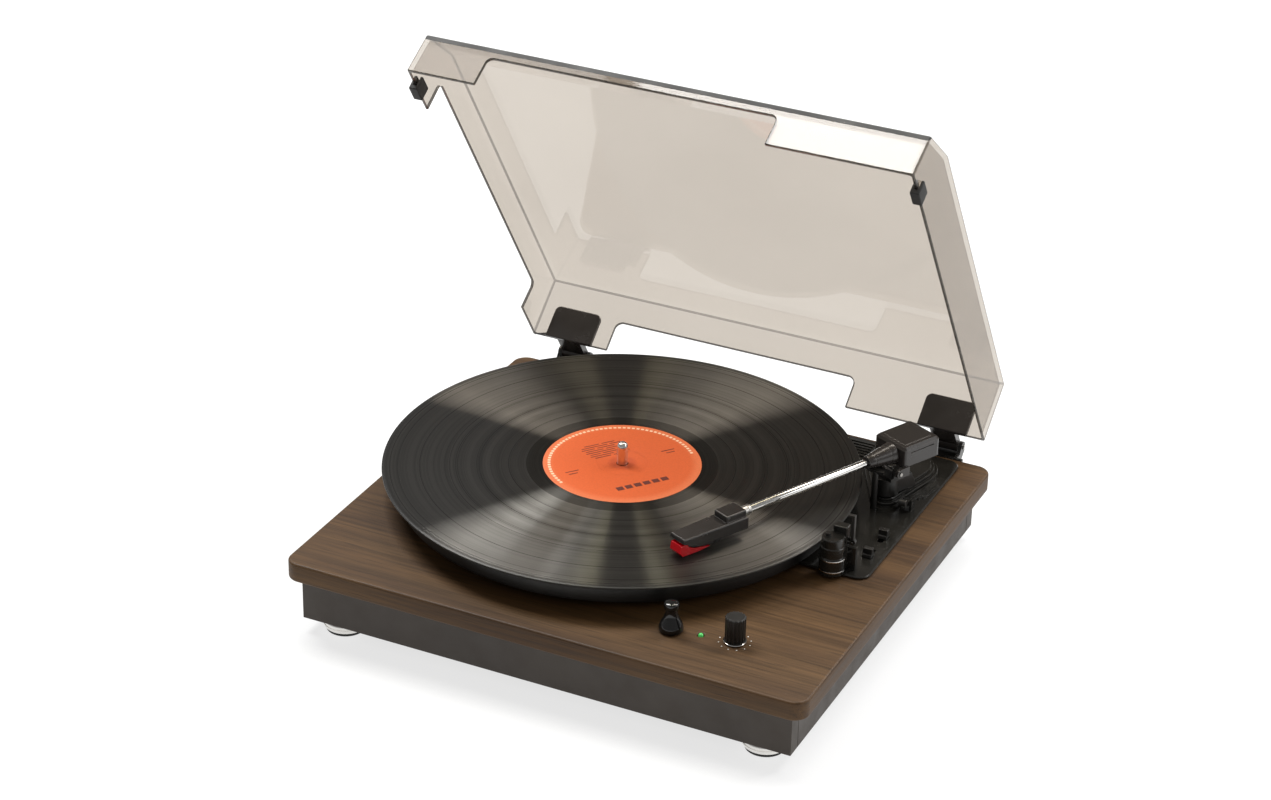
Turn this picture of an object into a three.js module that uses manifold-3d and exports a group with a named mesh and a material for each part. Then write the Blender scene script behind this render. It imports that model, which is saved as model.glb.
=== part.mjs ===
// A belt-drive record player with its dust cover open: a wood-topped plinth on four feet,
// a moulded mechanism plate with platter, belt and motor, a straight tonearm and a tinted cover.
// Millimetres, +Z up, X to the right along the front, Y to the back.
import * as THREE from "three";
import { RoundedBoxGeometry } from "three/addons/geometries/RoundedBoxGeometry.js";
import { mergeVertices } from "three/addons/utils/BufferGeometryUtils.js";
import Module from "manifold-3d";

const wasm = await Module();
wasm.setup();

const GAP = 0.3;
const DEG = Math.PI / 180;

// Plinth: a thick veneered board on a smaller box. Heights start at the lower edge of the box.
const BOARD_WIDTH = 343.4;
const BOARD_DEPTH = 310.8;
const BOARD_TOP = 41.1;
const BOARD_THICKNESS = 12.6;
const BOARD_CORNER = 9.9;
const BOARD_BOTTOM = BOARD_TOP - BOARD_THICKNESS;
const BASE_WIDTH = 324.6;
const BASE_DEPTH = 297;
const BASE_HEIGHT = BOARD_BOTTOM - GAP;
const PANEL = 10;
const FLOOR_PANEL = 3;
const FOOT_RADIUS = 14;
const FOOT_X = 140.5;
const FOOT_Y = 134;
const FOOT_RING = 6;
const FOOT_PAD = 1.6;

// Mechanism plate, set into an opening of the board.
const PLATE_LEFT = -70;
const PLATE_RIGHT = 152;
const PLATE_FRONT = -14;
const PLATE_BACK = 150;
const PLATE_TOP = BOARD_TOP + 2;
const PLATE_LIP = 4;
const PLATE_WALL_BOTTOM = 31;

// Turning parts round the spindle.
const SPINDLE = new THREE.Vector2(-26.7, 16.7);
const SPINDLE_RADIUS = 3.5;
const SPINDLE_TOP = 77;
const PLATTER_RADIUS = 142;
const PLATTER_TOP = 58.2;
const PLATTER_BOTTOM = 46.4;
const BELT_RING_RADIUS = 80;
const MAT_TOP = 60;
const MAT_RADIUS = 140;
const RECORD_RADIUS = 151;
const RECORD_BOTTOM = MAT_TOP + GAP;
const RECORD_TOP = 62.1;
const LABEL_RADIUS = 50;
const LABEL_THICKNESS = 0.3;
const MOTOR = new THREE.Vector2(13.3, 113.7);
const PULLEY_RADIUS = 5;
const BELT_THICKNESS = 0.8;

// Tonearm: measured from its upright axis, lying along -Y before it is turned over the record.
const ARM_AXIS = new THREE.Vector2(125.5, 82.7);
const ARM_TURN = -25.4 * DEG;
const ARM_HEIGHT = 75.3;
const AXLE_HEIGHT = 66.4;
const TUBE_RADIUS = 2.5;
const TUBE_FRONT = -127;
const HEAD_FRONT = -170.5;

// Dust cover, drawn shut with the hinge line as its own origin, then swung open.
const HINGE_Y = 166.8;
const HINGE_Z = 44.85;
const COVER_OPEN = 56.4 * DEG;
const COVER_WIDTH = 327;
const COVER_DEPTH = 303.5;
const COVER_HEIGHT = 41.75;
const COVER_WALL = 2.1;
const COVER_BACK = -14.8;
const COVER_EDGE = 0.05;
const HINGE_X = 135;

const colours = {
  walnut: 0x4a3a2b,
  baseBrown: 0x3b3630,
  silver: 0xc9c9c6,
  rubber: 0x151515,
  plastic: 0x1c1c1c,
  vinyl: 0x101010,
  orange: 0xf47b3c,
  felt: 0x191919,
  smoke: 0xb9b0a4,
  red: 0xc3121a,
  green: 0x4fd060,
  brass: 0xb8964e,
  steel: 0xb4b4b2,
  board: 0x2d6a3f,
  white: 0xe8e8e4,
};

function paint(colour, roughness, metalness) {
  return new THREE.MeshStandardMaterial({ color: colour, roughness, metalness });
}

const walnut = () => paint(colours.walnut, 0.5, 0);
const brownPaint = () => paint(colours.baseBrown, 0.6, 0);
const blackPlastic = () => paint(colours.plastic, 0.35, 0);
const rubber = () => paint(colours.rubber, 0.85, 0);
const chrome = () => paint(colours.silver, 0.12, 1);
const steel = () => paint(colours.steel, 0.3, 1);

// ---- shaping helpers -------------------------------------------------------------------------

function toSolid(geometry) {
  const bare = geometry.clone();
  for (const name of Object.keys(bare.attributes)) {
    if (name !== "position") bare.deleteAttribute(name);
  }
  const merged = mergeVertices(bare, 1e-4);
  return new wasm.Manifold(
    new wasm.Mesh({
      numProp: 3,
      vertProperties: new Float32Array(merged.attributes.position.array),
      triVerts: new Uint32Array(merged.index.array),
    }),
  );
}

function toGeometry(solid) {
  const mesh = solid.getMesh();
  const count = mesh.numVert;
  const stride = mesh.numProp;
  const positions = new Float32Array(count * 3);
  for (let i = 0; i < count; i++) {
    positions.set(mesh.vertProperties.subarray(i * stride, i * stride + 3), i * 3);
  }
  const geometry = new THREE.BufferGeometry();
  geometry.setAttribute("position", new THREE.BufferAttribute(positions, 3));
  geometry.setIndex(new THREE.BufferAttribute(new Uint32Array(mesh.triVerts), 1));
  return geometry.toNonIndexed();
}

function join(first, ...others) {
  let solid = toSolid(first);
  for (const other of others) solid = solid.add(toSolid(other));
  const geometry = toGeometry(solid);
  geometry.computeVertexNormals();
  return geometry;
}

function cut(first, ...others) {
  let solid = toSolid(first);
  for (const other of others) solid = solid.subtract(toSolid(other));
  const geometry = toGeometry(solid);
  geometry.computeVertexNormals();
  return geometry;
}

// A box given by its two opposite corners.
function block(x0, y0, z0, x1, y1, z1) {
  const geometry = new THREE.BoxGeometry(x1 - x0, y1 - y0, z1 - z0);
  return geometry.translate((x0 + x1) / 2, (y0 + y1) / 2, (z0 + z1) / 2);
}

function softBlock(x0, y0, z0, x1, y1, z1, radius) {
  const geometry = new RoundedBoxGeometry(x1 - x0, y1 - y0, z1 - z0, 1, radius);
  return geometry.translate((x0 + x1) / 2, (y0 + y1) / 2, (z0 + z1) / 2);
}

function upright(radius, z0, z1, x = 0, y = 0, sides = 32, topRadius = radius) {
  const geometry = new THREE.CylinderGeometry(topRadius, radius, z1 - z0, sides);
  return geometry.rotateX(90 * DEG).translate(x, y, (z0 + z1) / 2);
}

function alongX(radius, x0, x1, y, z, sides = 24) {
  const geometry = new THREE.CylinderGeometry(radius, radius, x1 - x0, sides);
  return geometry.rotateZ(90 * DEG).translate((x0 + x1) / 2, y, z);
}

function alongY(radius, y0, y1, x, z, sides = 24, farRadius = radius) {
  const geometry = new THREE.CylinderGeometry(farRadius, radius, y1 - y0, sides);
  return geometry.translate(x, (y0 + y1) / 2, z);
}

// A turned piece: the profile is a list of [radius, height] pairs, closed on the axis or on itself.
function turned(profile, sides) {
  const points = profile.map(([radius, height]) => new THREE.Vector2(radius, height));
  return new THREE.LatheGeometry(points, sides).rotateX(90 * DEG);
}

function ring(innerRadius, outerRadius, z0, z1, sides) {
  return turned(
    [
      [innerRadius, z0],
      [outerRadius, z0],
      [outerRadius, z1],
      [innerRadius, z1],
      [innerRadius, z0],
    ],
    sides,
  );
}

function roundedRectangle(x0, y0, x1, y1, radius) {
  const shape = new THREE.Shape();
  shape.moveTo(x0 + radius, y0);
  shape.lineTo(x1 - radius, y0);
  shape.absarc(x1 - radius, y0 + radius, radius, -90 * DEG, 0, false);
  shape.lineTo(x1, y1 - radius);
  shape.absarc(x1 - radius, y1 - radius, radius, 0, 90 * DEG, false);
  shape.lineTo(x0 + radius, y1);
  shape.absarc(x0 + radius, y1 - radius, radius, 90 * DEG, 180 * DEG, false);
  shape.lineTo(x0, y0 + radius);
  shape.absarc(x0 + radius, y0 + radius, radius, 180 * DEG, 270 * DEG, false);
  return shape;
}

// A flat piece with rounded corners and eased edges, z0 to z1.
function slab(shape, z0, z1, ease = 0, curveSegments = 6) {
  const geometry = new THREE.ExtrudeGeometry(shape, {
    depth: z1 - z0 - 2 * ease,
    bevelEnabled: ease > 0,
    bevelThickness: ease,
    bevelSize: ease,
    bevelOffset: -ease,
    bevelSegments: ease > 1 ? 2 : 1,
    curveSegments,
  });
  return geometry.translate(0, 0, z0 + ease);
}

// A side view of [y, z] pairs, extruded from x0 to x1.
function sideExtrusion(points, x0, x1) {
  const shape = new THREE.Shape(points.map(([y, z]) => new THREE.Vector2(y, z)));
  const geometry = new THREE.ExtrudeGeometry(shape, { depth: x1 - x0, bevelEnabled: false });
  geometry.rotateX(90 * DEG).rotateZ(90 * DEG);
  return geometry.translate(x0, 0, 0);
}

const player = new THREE.Group();
player.name = "record_player";

function add(parent, name, geometry, material) {
  const mesh = new THREE.Mesh(geometry, material);
  mesh.name = name;
  parent.add(mesh);
  return mesh;
}

// ---- plinth ----------------------------------------------------------------------------------

const plinth = new THREE.Group();
player.add(plinth);

const halfBoardX = BOARD_WIDTH / 2;
const halfBoardY = BOARD_DEPTH / 2;
const halfBaseX = BASE_WIDTH / 2;
const halfBaseY = BASE_DEPTH / 2;

const MODE_KNOB = new THREE.Vector2(70.6, -117);
const VOLUME_KNOB = new THREE.Vector2(109, -111);
const LAMP = new THREE.Vector2(88.3, -113.5);

const boardOutline = roundedRectangle(-halfBoardX, -halfBoardY, halfBoardX, halfBoardY, BOARD_CORNER);
const plateOpening = roundedRectangle(
  PLATE_LEFT + PLATE_LIP,
  PLATE_FRONT + PLATE_LIP,
  PLATE_RIGHT - PLATE_LIP,
  PLATE_BACK - PLATE_LIP,
  6,
);
add(
  plinth,
  "top_board",
  cut(
    slab(boardOutline, BOARD_BOTTOM, BOARD_TOP, 1.6, 6),
    slab(plateOpening, BOARD_BOTTOM - 1, BOARD_TOP + 1, 0, 4),
    upright(3.8, BOARD_BOTTOM - 1, BOARD_TOP + 1, MODE_KNOB.x, MODE_KNOB.y, 20),
    upright(3.8, BOARD_BOTTOM - 1, BOARD_TOP + 1, VOLUME_KNOB.x, VOLUME_KNOB.y, 20),
    upright(1.8, BOARD_BOTTOM - 1, BOARD_TOP + 1, LAMP.x, LAMP.y, 12),
  ),
  walnut(),
);

// The box under the board: four panels butted together and a thin floor.
const JACK_X0 = 62;
const JACK_X1 = 122;
const JACK_Z0 = 6;
const JACK_Z1 = 23;
add(
  plinth,
  "base_front_panel",
  block(-halfBaseX, -halfBaseY, 0, halfBaseX, -halfBaseY + PANEL, BASE_HEIGHT),
  brownPaint(),
);
add(
  plinth,
  "base_rear_panel",
  cut(
    block(-halfBaseX, halfBaseY - PANEL, 0, halfBaseX, halfBaseY, BASE_HEIGHT),
    block(JACK_X0, halfBaseY - PANEL - 1, JACK_Z0, JACK_X1, halfBaseY + 1, JACK_Z1),
  ),
  brownPaint(),
);
for (const [name, side] of [
  ["base_left_panel", -1],
  ["base_right_panel", 1],
]) {
  const outer = side * halfBaseX;
  const inner = side * (halfBaseX - PANEL);
  add(
    plinth,
    name,
    block(
      Math.min(outer, inner),
      -halfBaseY + PANEL + GAP,
      0,
      Math.max(outer, inner),
      halfBaseY - PANEL - GAP,
      BASE_HEIGHT,
    ),
    brownPaint(),
  );
}

const floorX = halfBaseX - PANEL - GAP;
const floorY = halfBaseY - PANEL - GAP;
const CIRCUIT_X0 = 52;
const CIRCUIT_X1 = 128;
const CIRCUIT_Y0 = -128;
const CIRCUIT_Y1 = -78;
const CIRCUIT_Z = 8;
const standoffs = [];
for (const x of [CIRCUIT_X0 + 5, CIRCUIT_X1 - 5]) {
  for (const y of [CIRCUIT_Y0 + 5, CIRCUIT_Y1 - 5]) {
    standoffs.push(upright(3, FLOOR_PANEL - 0.5, CIRCUIT_Z, x, y, 10));
  }
}
add(
  plinth,
  "floor_panel",
  join(block(-floorX, -floorY, 0, floorX, floorY, FLOOR_PANEL), ...standoffs),
  paint(0x222222, 0.7, 0),
);

// Feet: a bright ring with a thin rubber pad under it.
const footPlaces = [
  ["front_left", -1, -1],
  ["front_right", 1, -1],
  ["rear_left", -1, 1],
  ["rear_right", 1, 1],
];
for (const [place, sideX, sideY] of footPlaces) {
  const foot = new THREE.Group();
  foot.position.set(sideX * FOOT_X, sideY * FOOT_Y, 0);
  plinth.add(foot);
  const ringBottom = -GAP - FOOT_RING;
  add(
    foot,
    "foot_" + place,
    turned(
      [
        [0, ringBottom],
        [FOOT_RADIUS - 1.2, ringBottom],
        [FOOT_RADIUS, ringBottom + 1.2],
        [FOOT_RADIUS, -GAP - 0.8],
        [FOOT_RADIUS - 0.8, -GAP],
        [0, -GAP],
      ],
      28,
    ),
    paint(colours.silver, 0.25, 1),
  );
  add(
    foot,
    "foot_pad_" + place,
    upright(FOOT_RADIUS - 1.6, ringBottom - GAP - FOOT_PAD, ringBottom - GAP, 0, 0, 24),
    rubber(),
  );
}

// Connections at the back: a small plate with two phono sockets and the supply inlet.
const jackPanel = new THREE.Group();
jackPanel.position.set(0, halfBaseY, 0);
player.add(jackPanel);
const JACK_MIDDLE = (JACK_Z0 + JACK_Z1) / 2;
const SOCKET_LEFT_X = 74;
const SOCKET_RIGHT_X = 92;
const INLET_X = 111;
add(
  jackPanel,
  "jack_plate",
  cut(
    block(JACK_X0 + GAP, -4, JACK_Z0 + GAP, JACK_X1 - GAP, -2, JACK_Z1 - GAP),
    alongY(4.6, -5, -1, SOCKET_LEFT_X, JACK_MIDDLE, 20),
    alongY(4.6, -5, -1, SOCKET_RIGHT_X, JACK_MIDDLE, 20),
    alongY(4.3, -5, -1, INLET_X, JACK_MIDDLE, 20),
  ),
  blackPlastic(),
);
function phonoSocket(x) {
  return cut(
    join(
      alongY(4.3, -8, 4, x, JACK_MIDDLE, 20),
      alongY(5.6, -2 + GAP, -0.6, x, JACK_MIDDLE, 20),
      block(x - 6, -16, JACK_MIDDLE - 6, x + 6, -4 - GAP, JACK_MIDDLE + 6),
    ),
    alongY(1.6, -6, 5, x, JACK_MIDDLE, 12),
  );
}
add(jackPanel, "socket_left", phonoSocket(SOCKET_LEFT_X), paint(colours.white, 0.4, 0));
add(jackPanel, "socket_right", phonoSocket(SOCKET_RIGHT_X), paint(colours.red, 0.4, 0));
add(
  jackPanel,
  "supply_inlet",
  cut(
    join(
      alongY(4, -8, -0.8, INLET_X, JACK_MIDDLE),
      block(INLET_X - 5, -17, JACK_MIDDLE - 5, INLET_X + 5, -4 - GAP, JACK_MIDDLE + 5),
    ),
    cut(
      alongY(2.8, -12, 0, INLET_X, JACK_MIDDLE),
      alongY(0.9, -13, -2.5, INLET_X, JACK_MIDDLE, 12),
    ),
  ),
  blackPlastic(),
);

// Circuit board with its tall parts, on the floor's standoffs.
add(
  plinth,
  "circuit_board",
  join(
    block(CIRCUIT_X0, CIRCUIT_Y0, CIRCUIT_Z + GAP, CIRCUIT_X1, CIRCUIT_Y1, CIRCUIT_Z + 1.9),
    upright(4, CIRCUIT_Z + 1, CIRCUIT_Z + 13, 62, -88, 20),
    upright(4, CIRCUIT_Z + 1, CIRCUIT_Z + 13, 72, -88, 20),
    block(84, -96, CIRCUIT_Z + 1, 98, -84, CIRCUIT_Z + 4),
    block(106, -94, CIRCUIT_Z + 1, 122, -86, CIRCUIT_Z + 9),
  ),
  paint(colours.board, 0.5, 0),
);

// ---- front controls --------------------------------------------------------------------------

// A body under the board with a threaded neck in the board's hole.
function controlBody(place) {
  return cut(
    join(
      block(place.x - 8, place.y - 8, 18, place.x + 8, place.y + 8, BOARD_BOTTOM - GAP),
      upright(3.4, BOARD_BOTTOM - 1, BOARD_TOP - 1, place.x, place.y, 18),
    ),
    upright(2.3, 21, BOARD_TOP, place.x, place.y, 14),
  );
}
add(player, "mode_switch", controlBody(MODE_KNOB), steel());
add(player, "volume_control", controlBody(VOLUME_KNOB), steel());

const modeKnob = new THREE.Group();
modeKnob.position.set(MODE_KNOB.x, MODE_KNOB.y, BOARD_TOP);
player.add(modeKnob);
add(
  modeKnob,
  "mode_knob",
  turned(
    [
      [0, -18],
      [2, -18],
      [2, 0.3],
      [6.2, 0.3],
      [7.4, 2],
      [7.3, 4.4],
      [6, 7.6],
      [4.8, 10.8],
      [4.1, 14],
      [4, 15.6],
      [4.5, 16.4],
      [4.6, 18],
      [4, 19],
      [0, 19.4],
    ],
    28,
  ),
  paint(colours.plastic, 0.12, 0),
);

const volumeKnob = new THREE.Group();
volumeKnob.position.set(VOLUME_KNOB.x, VOLUME_KNOB.y, BOARD_TOP);
player.add(volumeKnob);
const KNOB_RIBS = 16;
const ribbedOutline = new THREE.Shape();
for (let i = 0; i < KNOB_RIBS; i++) {
  for (const [part, radius] of [
    [0.05, 5.7],
    [0.3, 6.25],
    [0.7, 6.25],
    [0.95, 5.7],
  ]) {
    const angle = ((i + part) / KNOB_RIBS) * 360 * DEG;
    const x = radius * Math.cos(angle);
    const y = radius * Math.sin(angle);
    if (i === 0 && part === 0.05) ribbedOutline.moveTo(x, y);
    else ribbedOutline.lineTo(x, y);
  }
}
add(
  volumeKnob,
  "volume_knob",
  join(
    slab(ribbedOutline, 1.4, 17.2, 0.5),
    upright(6.6, 0.3, 1.8, 0, 0, 28),
    upright(2, -18, 1, 0, 0, 14),
  ),
  blackPlastic(),
);

add(
  player,
  "power_lamp",
  turned(
    [
      [0, BOARD_BOTTOM - 4],
      [1.5, BOARD_BOTTOM - 4],
      [1.5, BOARD_TOP - 0.2],
      [1.2, BOARD_TOP + 0.4],
      [0.6, BOARD_TOP + 0.8],
      [0, BOARD_TOP + 0.9],
    ],
    16,
  ).translate(LAMP.x, LAMP.y, 0),
  paint(colours.green, 0.3, 0),
);

// ---- mechanism plate -------------------------------------------------------------------------

const plateFlange = roundedRectangle(PLATE_LEFT, PLATE_FRONT, PLATE_RIGHT, PLATE_BACK, 8);
const wallInset = PLATE_LIP + GAP;
const wallOuter = roundedRectangle(
  PLATE_LEFT + wallInset,
  PLATE_FRONT + wallInset,
  PLATE_RIGHT - wallInset,
  PLATE_BACK - wallInset,
  5.5,
);
const wallInner = roundedRectangle(
  PLATE_LEFT + wallInset + 2,
  PLATE_FRONT + wallInset + 2,
  PLATE_RIGHT - wallInset - 2,
  PLATE_BACK - wallInset - 2,
  3.5,
);

// The raised, stepped island under the arm: a small circle at the arm's axis drawn out to a big one.
const ISLAND_FAR = new THREE.Vector2(121, 122);
const ISLAND_NEAR_RADIUS = 9.6;
const ISLAND_FAR_RADIUS = 23.6;
function island(inset, z0, z1) {
  const near = ISLAND_NEAR_RADIUS - inset;
  const far = ISLAND_FAR_RADIUS - inset;
  const between = new THREE.Vector2().subVectors(ISLAND_FAR, ARM_AXIS);
  const heading = between.angle();
  const lean = Math.acos((near - far) / between.length());
  const shape = new THREE.Shape();
  shape.absarc(ARM_AXIS.x, ARM_AXIS.y, near, heading + lean, heading - lean + 360 * DEG, false);
  shape.absarc(ISLAND_FAR.x, ISLAND_FAR.y, far, heading - lean, heading + lean, false);
  return slab(shape, z0, z1, 0.4, 9);
}
const ISLAND_TOP = 49;

// Low ribs on the plate: a row behind the platter, and a few along the island's right side.
const RIB_TOP = PLATE_TOP + 0.9;
const ribs = [];
for (let i = 0; i < 6; i++) {
  const y = 127 + i * 3.4;
  ribs.push(block(72, y, PLATE_TOP - 0.5, 94, y + 1.4, RIB_TOP));
}
for (let i = 0; i < 4; i++) {
  const halfLength = 17 - 2.5 * i;
  const rib = block(-0.5, -halfLength, PLATE_TOP - 0.5, 0.5, halfLength, RIB_TOP);
  ribs.push(rib.rotateZ(-10 * DEG).translate(142.2 + 2.1 * i, 104, 0));
}
const LEVER_Y = 78.4;
const LEVER_Z = 47.6;
const leverEars = [];
for (const x of [138.2, 144.6]) {
  leverEars.push(
    cut(
      block(x, LEVER_Y - 3, PLATE_TOP - 0.5, x + 1.6, LEVER_Y + 3, LEVER_Z + 3),
      alongX(1.4, x - 1, x + 3, LEVER_Y, LEVER_Z, 12),
    ),
  );
}
const SWITCH_X = 142.6;
const SPEED_Y = 38;
const STOP_Y = 15.5;
const STOP_SET = 3;
const LIFT_ROD = new THREE.Vector2(ARM_AXIS.x - 2.2, ARM_AXIS.y - 13.8);
add(
  player,
  "mechanism_plate",
  cut(
    join(
      slab(plateFlange, BOARD_TOP + GAP, PLATE_TOP, 0.6, 4),
      cut(
        slab(wallOuter, PLATE_WALL_BOTTOM, PLATE_TOP - 0.4, 0, 3),
        slab(wallInner, PLATE_WALL_BOTTOM - 1, BOARD_TOP + 0.6, 0, 3),
      ),
      upright(9, 34, 46, SPINDLE.x, SPINDLE.y, 20),
      island(0, PLATE_TOP - 1, 45.4),
      island(2.2, PLATE_TOP - 1, 47.4),
      island(4.4, PLATE_TOP - 1, ISLAND_TOP),
      ...ribs,
      ...leverEars,
    ),
    upright(SPINDLE_RADIUS + GAP, 30, 50, SPINDLE.x, SPINDLE.y, 20),
    upright(4, 38, 50, MOTOR.x, MOTOR.y, 16),
    upright(2 + GAP, 38, 50, LIFT_ROD.x, LIFT_ROD.y, 14),
    block(SWITCH_X - 2, SPEED_Y - 7, 38, SWITCH_X + 2, SPEED_Y + 7, 50),
    block(SWITCH_X - 2, STOP_Y - 6, 38, SWITCH_X + 2, STOP_Y + 6, 50),
  ),
  paint(colours.plastic, 0.25, 0),
);

// Speed and auto-stop sliders in the plate's two slots.
function slider(y) {
  return join(
    sideExtrusion(
      [
        [y - 3.2, PLATE_TOP + GAP],
        [y + 3.2, PLATE_TOP + GAP],
        [y + 2.6, PLATE_TOP + 2],
        [y + 1.8, PLATE_TOP + 2.4],
        [y + 1.8, PLATE_TOP + 6],
        [y - 1.8, PLATE_TOP + 6],
        [y - 1.8, PLATE_TOP + 2.4],
        [y - 2.6, PLATE_TOP + 2],
      ],
      SWITCH_X - 3,
      SWITCH_X + 3,
    ),
    block(SWITCH_X - 1.6, y - 2, 36, SWITCH_X + 1.6, y + 2, PLATE_TOP + 1),
  );
}
add(player, "speed_slider", slider(SPEED_Y), blackPlastic());
add(player, "auto_stop_slider", slider(STOP_Y - STOP_SET), blackPlastic());

// ---- drive -----------------------------------------------------------------------------------

const turntable = new THREE.Group();
turntable.position.set(SPINDLE.x, SPINDLE.y, 0);
player.add(turntable);

add(
  turntable,
  "spindle",
  turned(
    [
      [0, 30],
      [SPINDLE_RADIUS, 30],
      [SPINDLE_RADIUS, SPINDLE_TOP - 3],
      [3.1, SPINDLE_TOP - 1.4],
      [2, SPINDLE_TOP - 0.4],
      [0, SPINDLE_TOP],
    ],
    20,
  ),
  chrome(),
);
const boreRadius = SPINDLE_RADIUS + GAP;
const platterUnder = PLATTER_TOP - 3;
add(
  turntable,
  "platter",
  turned(
    [
      [boreRadius, 46.3],
      [10, 46.3],
      [10, platterUnder],
      [BELT_RING_RADIUS - 3, platterUnder],
      [BELT_RING_RADIUS - 3, PLATTER_BOTTOM],
      [BELT_RING_RADIUS, PLATTER_BOTTOM],
      [BELT_RING_RADIUS, platterUnder],
      [PLATTER_RADIUS - 3.4, platterUnder],
      [PLATTER_RADIUS - 3, PLATTER_BOTTOM],
      [PLATTER_RADIUS, PLATTER_BOTTOM],
      [PLATTER_RADIUS, PLATTER_TOP - 1],
      [PLATTER_RADIUS - 1, PLATTER_TOP],
      [boreRadius, PLATTER_TOP],
      [boreRadius, 46.3],
    ],
    60,
  ),
  paint(0x1e1e1e, 0.4, 0.6),
);
add(
  turntable,
  "slip_mat",
  ring(boreRadius, MAT_RADIUS, PLATTER_TOP + GAP, MAT_TOP, 60),
  paint(colours.felt, 0.95, 0),
);

const labelSeat = LABEL_RADIUS + GAP;
const labelRecess = LABEL_THICKNESS + GAP;
add(
  turntable,
  "record_disc",
  turned(
    [
      [boreRadius, RECORD_BOTTOM + labelRecess],
      [labelSeat, RECORD_BOTTOM + labelRecess],
      [labelSeat, RECORD_BOTTOM],
      [RECORD_RADIUS - 1, RECORD_BOTTOM],
      [RECORD_RADIUS, RECORD_BOTTOM + 0.6],
      [RECORD_RADIUS, RECORD_TOP - 0.6],
      [RECORD_RADIUS - 1, RECORD_TOP],
      [labelSeat, RECORD_TOP],
      [labelSeat, RECORD_TOP - labelRecess],
      [boreRadius, RECORD_TOP - labelRecess],
      [boreRadius, RECORD_BOTTOM + labelRecess],
    ],
    80,
  ),
  paint(colours.vinyl, 0.18, 0),
);
add(
  turntable,
  "record_label_upper",
  ring(boreRadius, LABEL_RADIUS, RECORD_TOP - LABEL_THICKNESS, RECORD_TOP, 48),
  paint(colours.orange, 0.5, 0),
);
add(
  turntable,
  "record_label_lower",
  ring(boreRadius, LABEL_RADIUS, RECORD_BOTTOM, RECORD_BOTTOM + LABEL_THICKNESS, 48),
  paint(colours.orange, 0.5, 0),
);

// The belt's outline: two arcs joined by their outer tangents, grown by an offset.
function beltOutline(offset) {
  const reach = new THREE.Vector2().subVectors(MOTOR, SPINDLE);
  const heading = reach.angle();
  const lean = Math.acos((BELT_RING_RADIUS - PULLEY_RADIUS) / reach.length());
  const path = new THREE.Shape();
  path.absarc(0, 0, BELT_RING_RADIUS + offset, heading + lean, heading - lean + 360 * DEG, false);
  path.absarc(reach.x, reach.y, PULLEY_RADIUS + offset, heading - lean, heading + lean, false);
  return path;
}
const BELT_Z = 49.4;
const BELT_HEIGHT = 5;
add(
  turntable,
  "drive_belt",
  cut(
    slab(beltOutline(GAP + BELT_THICKNESS), BELT_Z, BELT_Z + BELT_HEIGHT, 0, 26),
    slab(beltOutline(GAP), BELT_Z - 1, BELT_Z + BELT_HEIGHT + 1, 0, 26),
  ),
  rubber(),
);

const drive = new THREE.Group();
drive.position.set(MOTOR.x, MOTOR.y, 0);
player.add(drive);
add(
  drive,
  "motor",
  cut(
    join(upright(16, 12, 38, 0, 0, 28), upright(3.6, 37, 41.8, 0, 0, 16)),
    upright(1.3, 20, 43, 0, 0, 12),
  ),
  steel(),
);
add(
  drive,
  "motor_pulley",
  turned(
    [
      [0, 21],
      [1, 21],
      [1, 47],
      [5.6, 47],
      [5.6, 48.6],
      [PULLEY_RADIUS, 49],
      [PULLEY_RADIUS, 54.2],
      [3, 54.6],
      [0, 54.6],
    ],
    20,
  ),
  paint(colours.brass, 0.25, 1),
);

// ---- tonearm ---------------------------------------------------------------------------------

const armBase = new THREE.Group();
armBase.position.set(ARM_AXIS.x, ARM_AXIS.y, 0);
armBase.rotation.z = ARM_TURN;
player.add(armBase);

const COLUMN_TOP = 60.6;
const YOKE_STUB_RADIUS = 3;
add(
  armBase,
  "arm_column",
  cut(
    join(
      upright(8.6, ISLAND_TOP + GAP, COLUMN_TOP, 0, 0, 24, 7.8),
      sideExtrusion(
        [
          [4, ISLAND_TOP + GAP],
          [21, ISLAND_TOP + GAP],
          [16, COLUMN_TOP - 0.6],
          [4, COLUMN_TOP - 0.6],
        ],
        -6.5,
        6.5,
      ),
    ),
    upright(YOKE_STUB_RADIUS + GAP, 52, COLUMN_TOP + 1, 0, 0, 16),
  ),
  blackPlastic(),
);

const EAR_INNER = 8;
const EAR_OUTER = 10.2;
const CHEEK_INNER = EAR_OUTER + GAP;
const CHEEK_OUTER = 13;
function roundEar(x0, x1, z0, radius) {
  return join(
    block(x0, -radius, z0, x1, radius, AXLE_HEIGHT),
    alongX(radius, x0, x1, 0, AXLE_HEIGHT, 14),
  );
}
const YOKE_TOP = COLUMN_TOP + GAP + 2.4;
add(
  armBase,
  "arm_yoke",
  cut(
    join(
      upright(YOKE_STUB_RADIUS, 53, YOKE_TOP - 1, 0, 0, 16),
      block(-EAR_OUTER, -5.4, COLUMN_TOP + GAP, EAR_OUTER, 5.4, YOKE_TOP),
      roundEar(-EAR_OUTER, -EAR_INNER, YOKE_TOP - 1, 3.2),
      roundEar(EAR_INNER, EAR_OUTER, YOKE_TOP - 1, 3.2),
    ),
    alongX(1.2 + GAP, -15, 15, 0, AXLE_HEIGHT, 12),
  ),
  blackPlastic(),
);
add(armBase, "arm_axle", alongX(1.2, -13.6, 13.6, 0, AXLE_HEIGHT, 12), steel());

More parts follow.
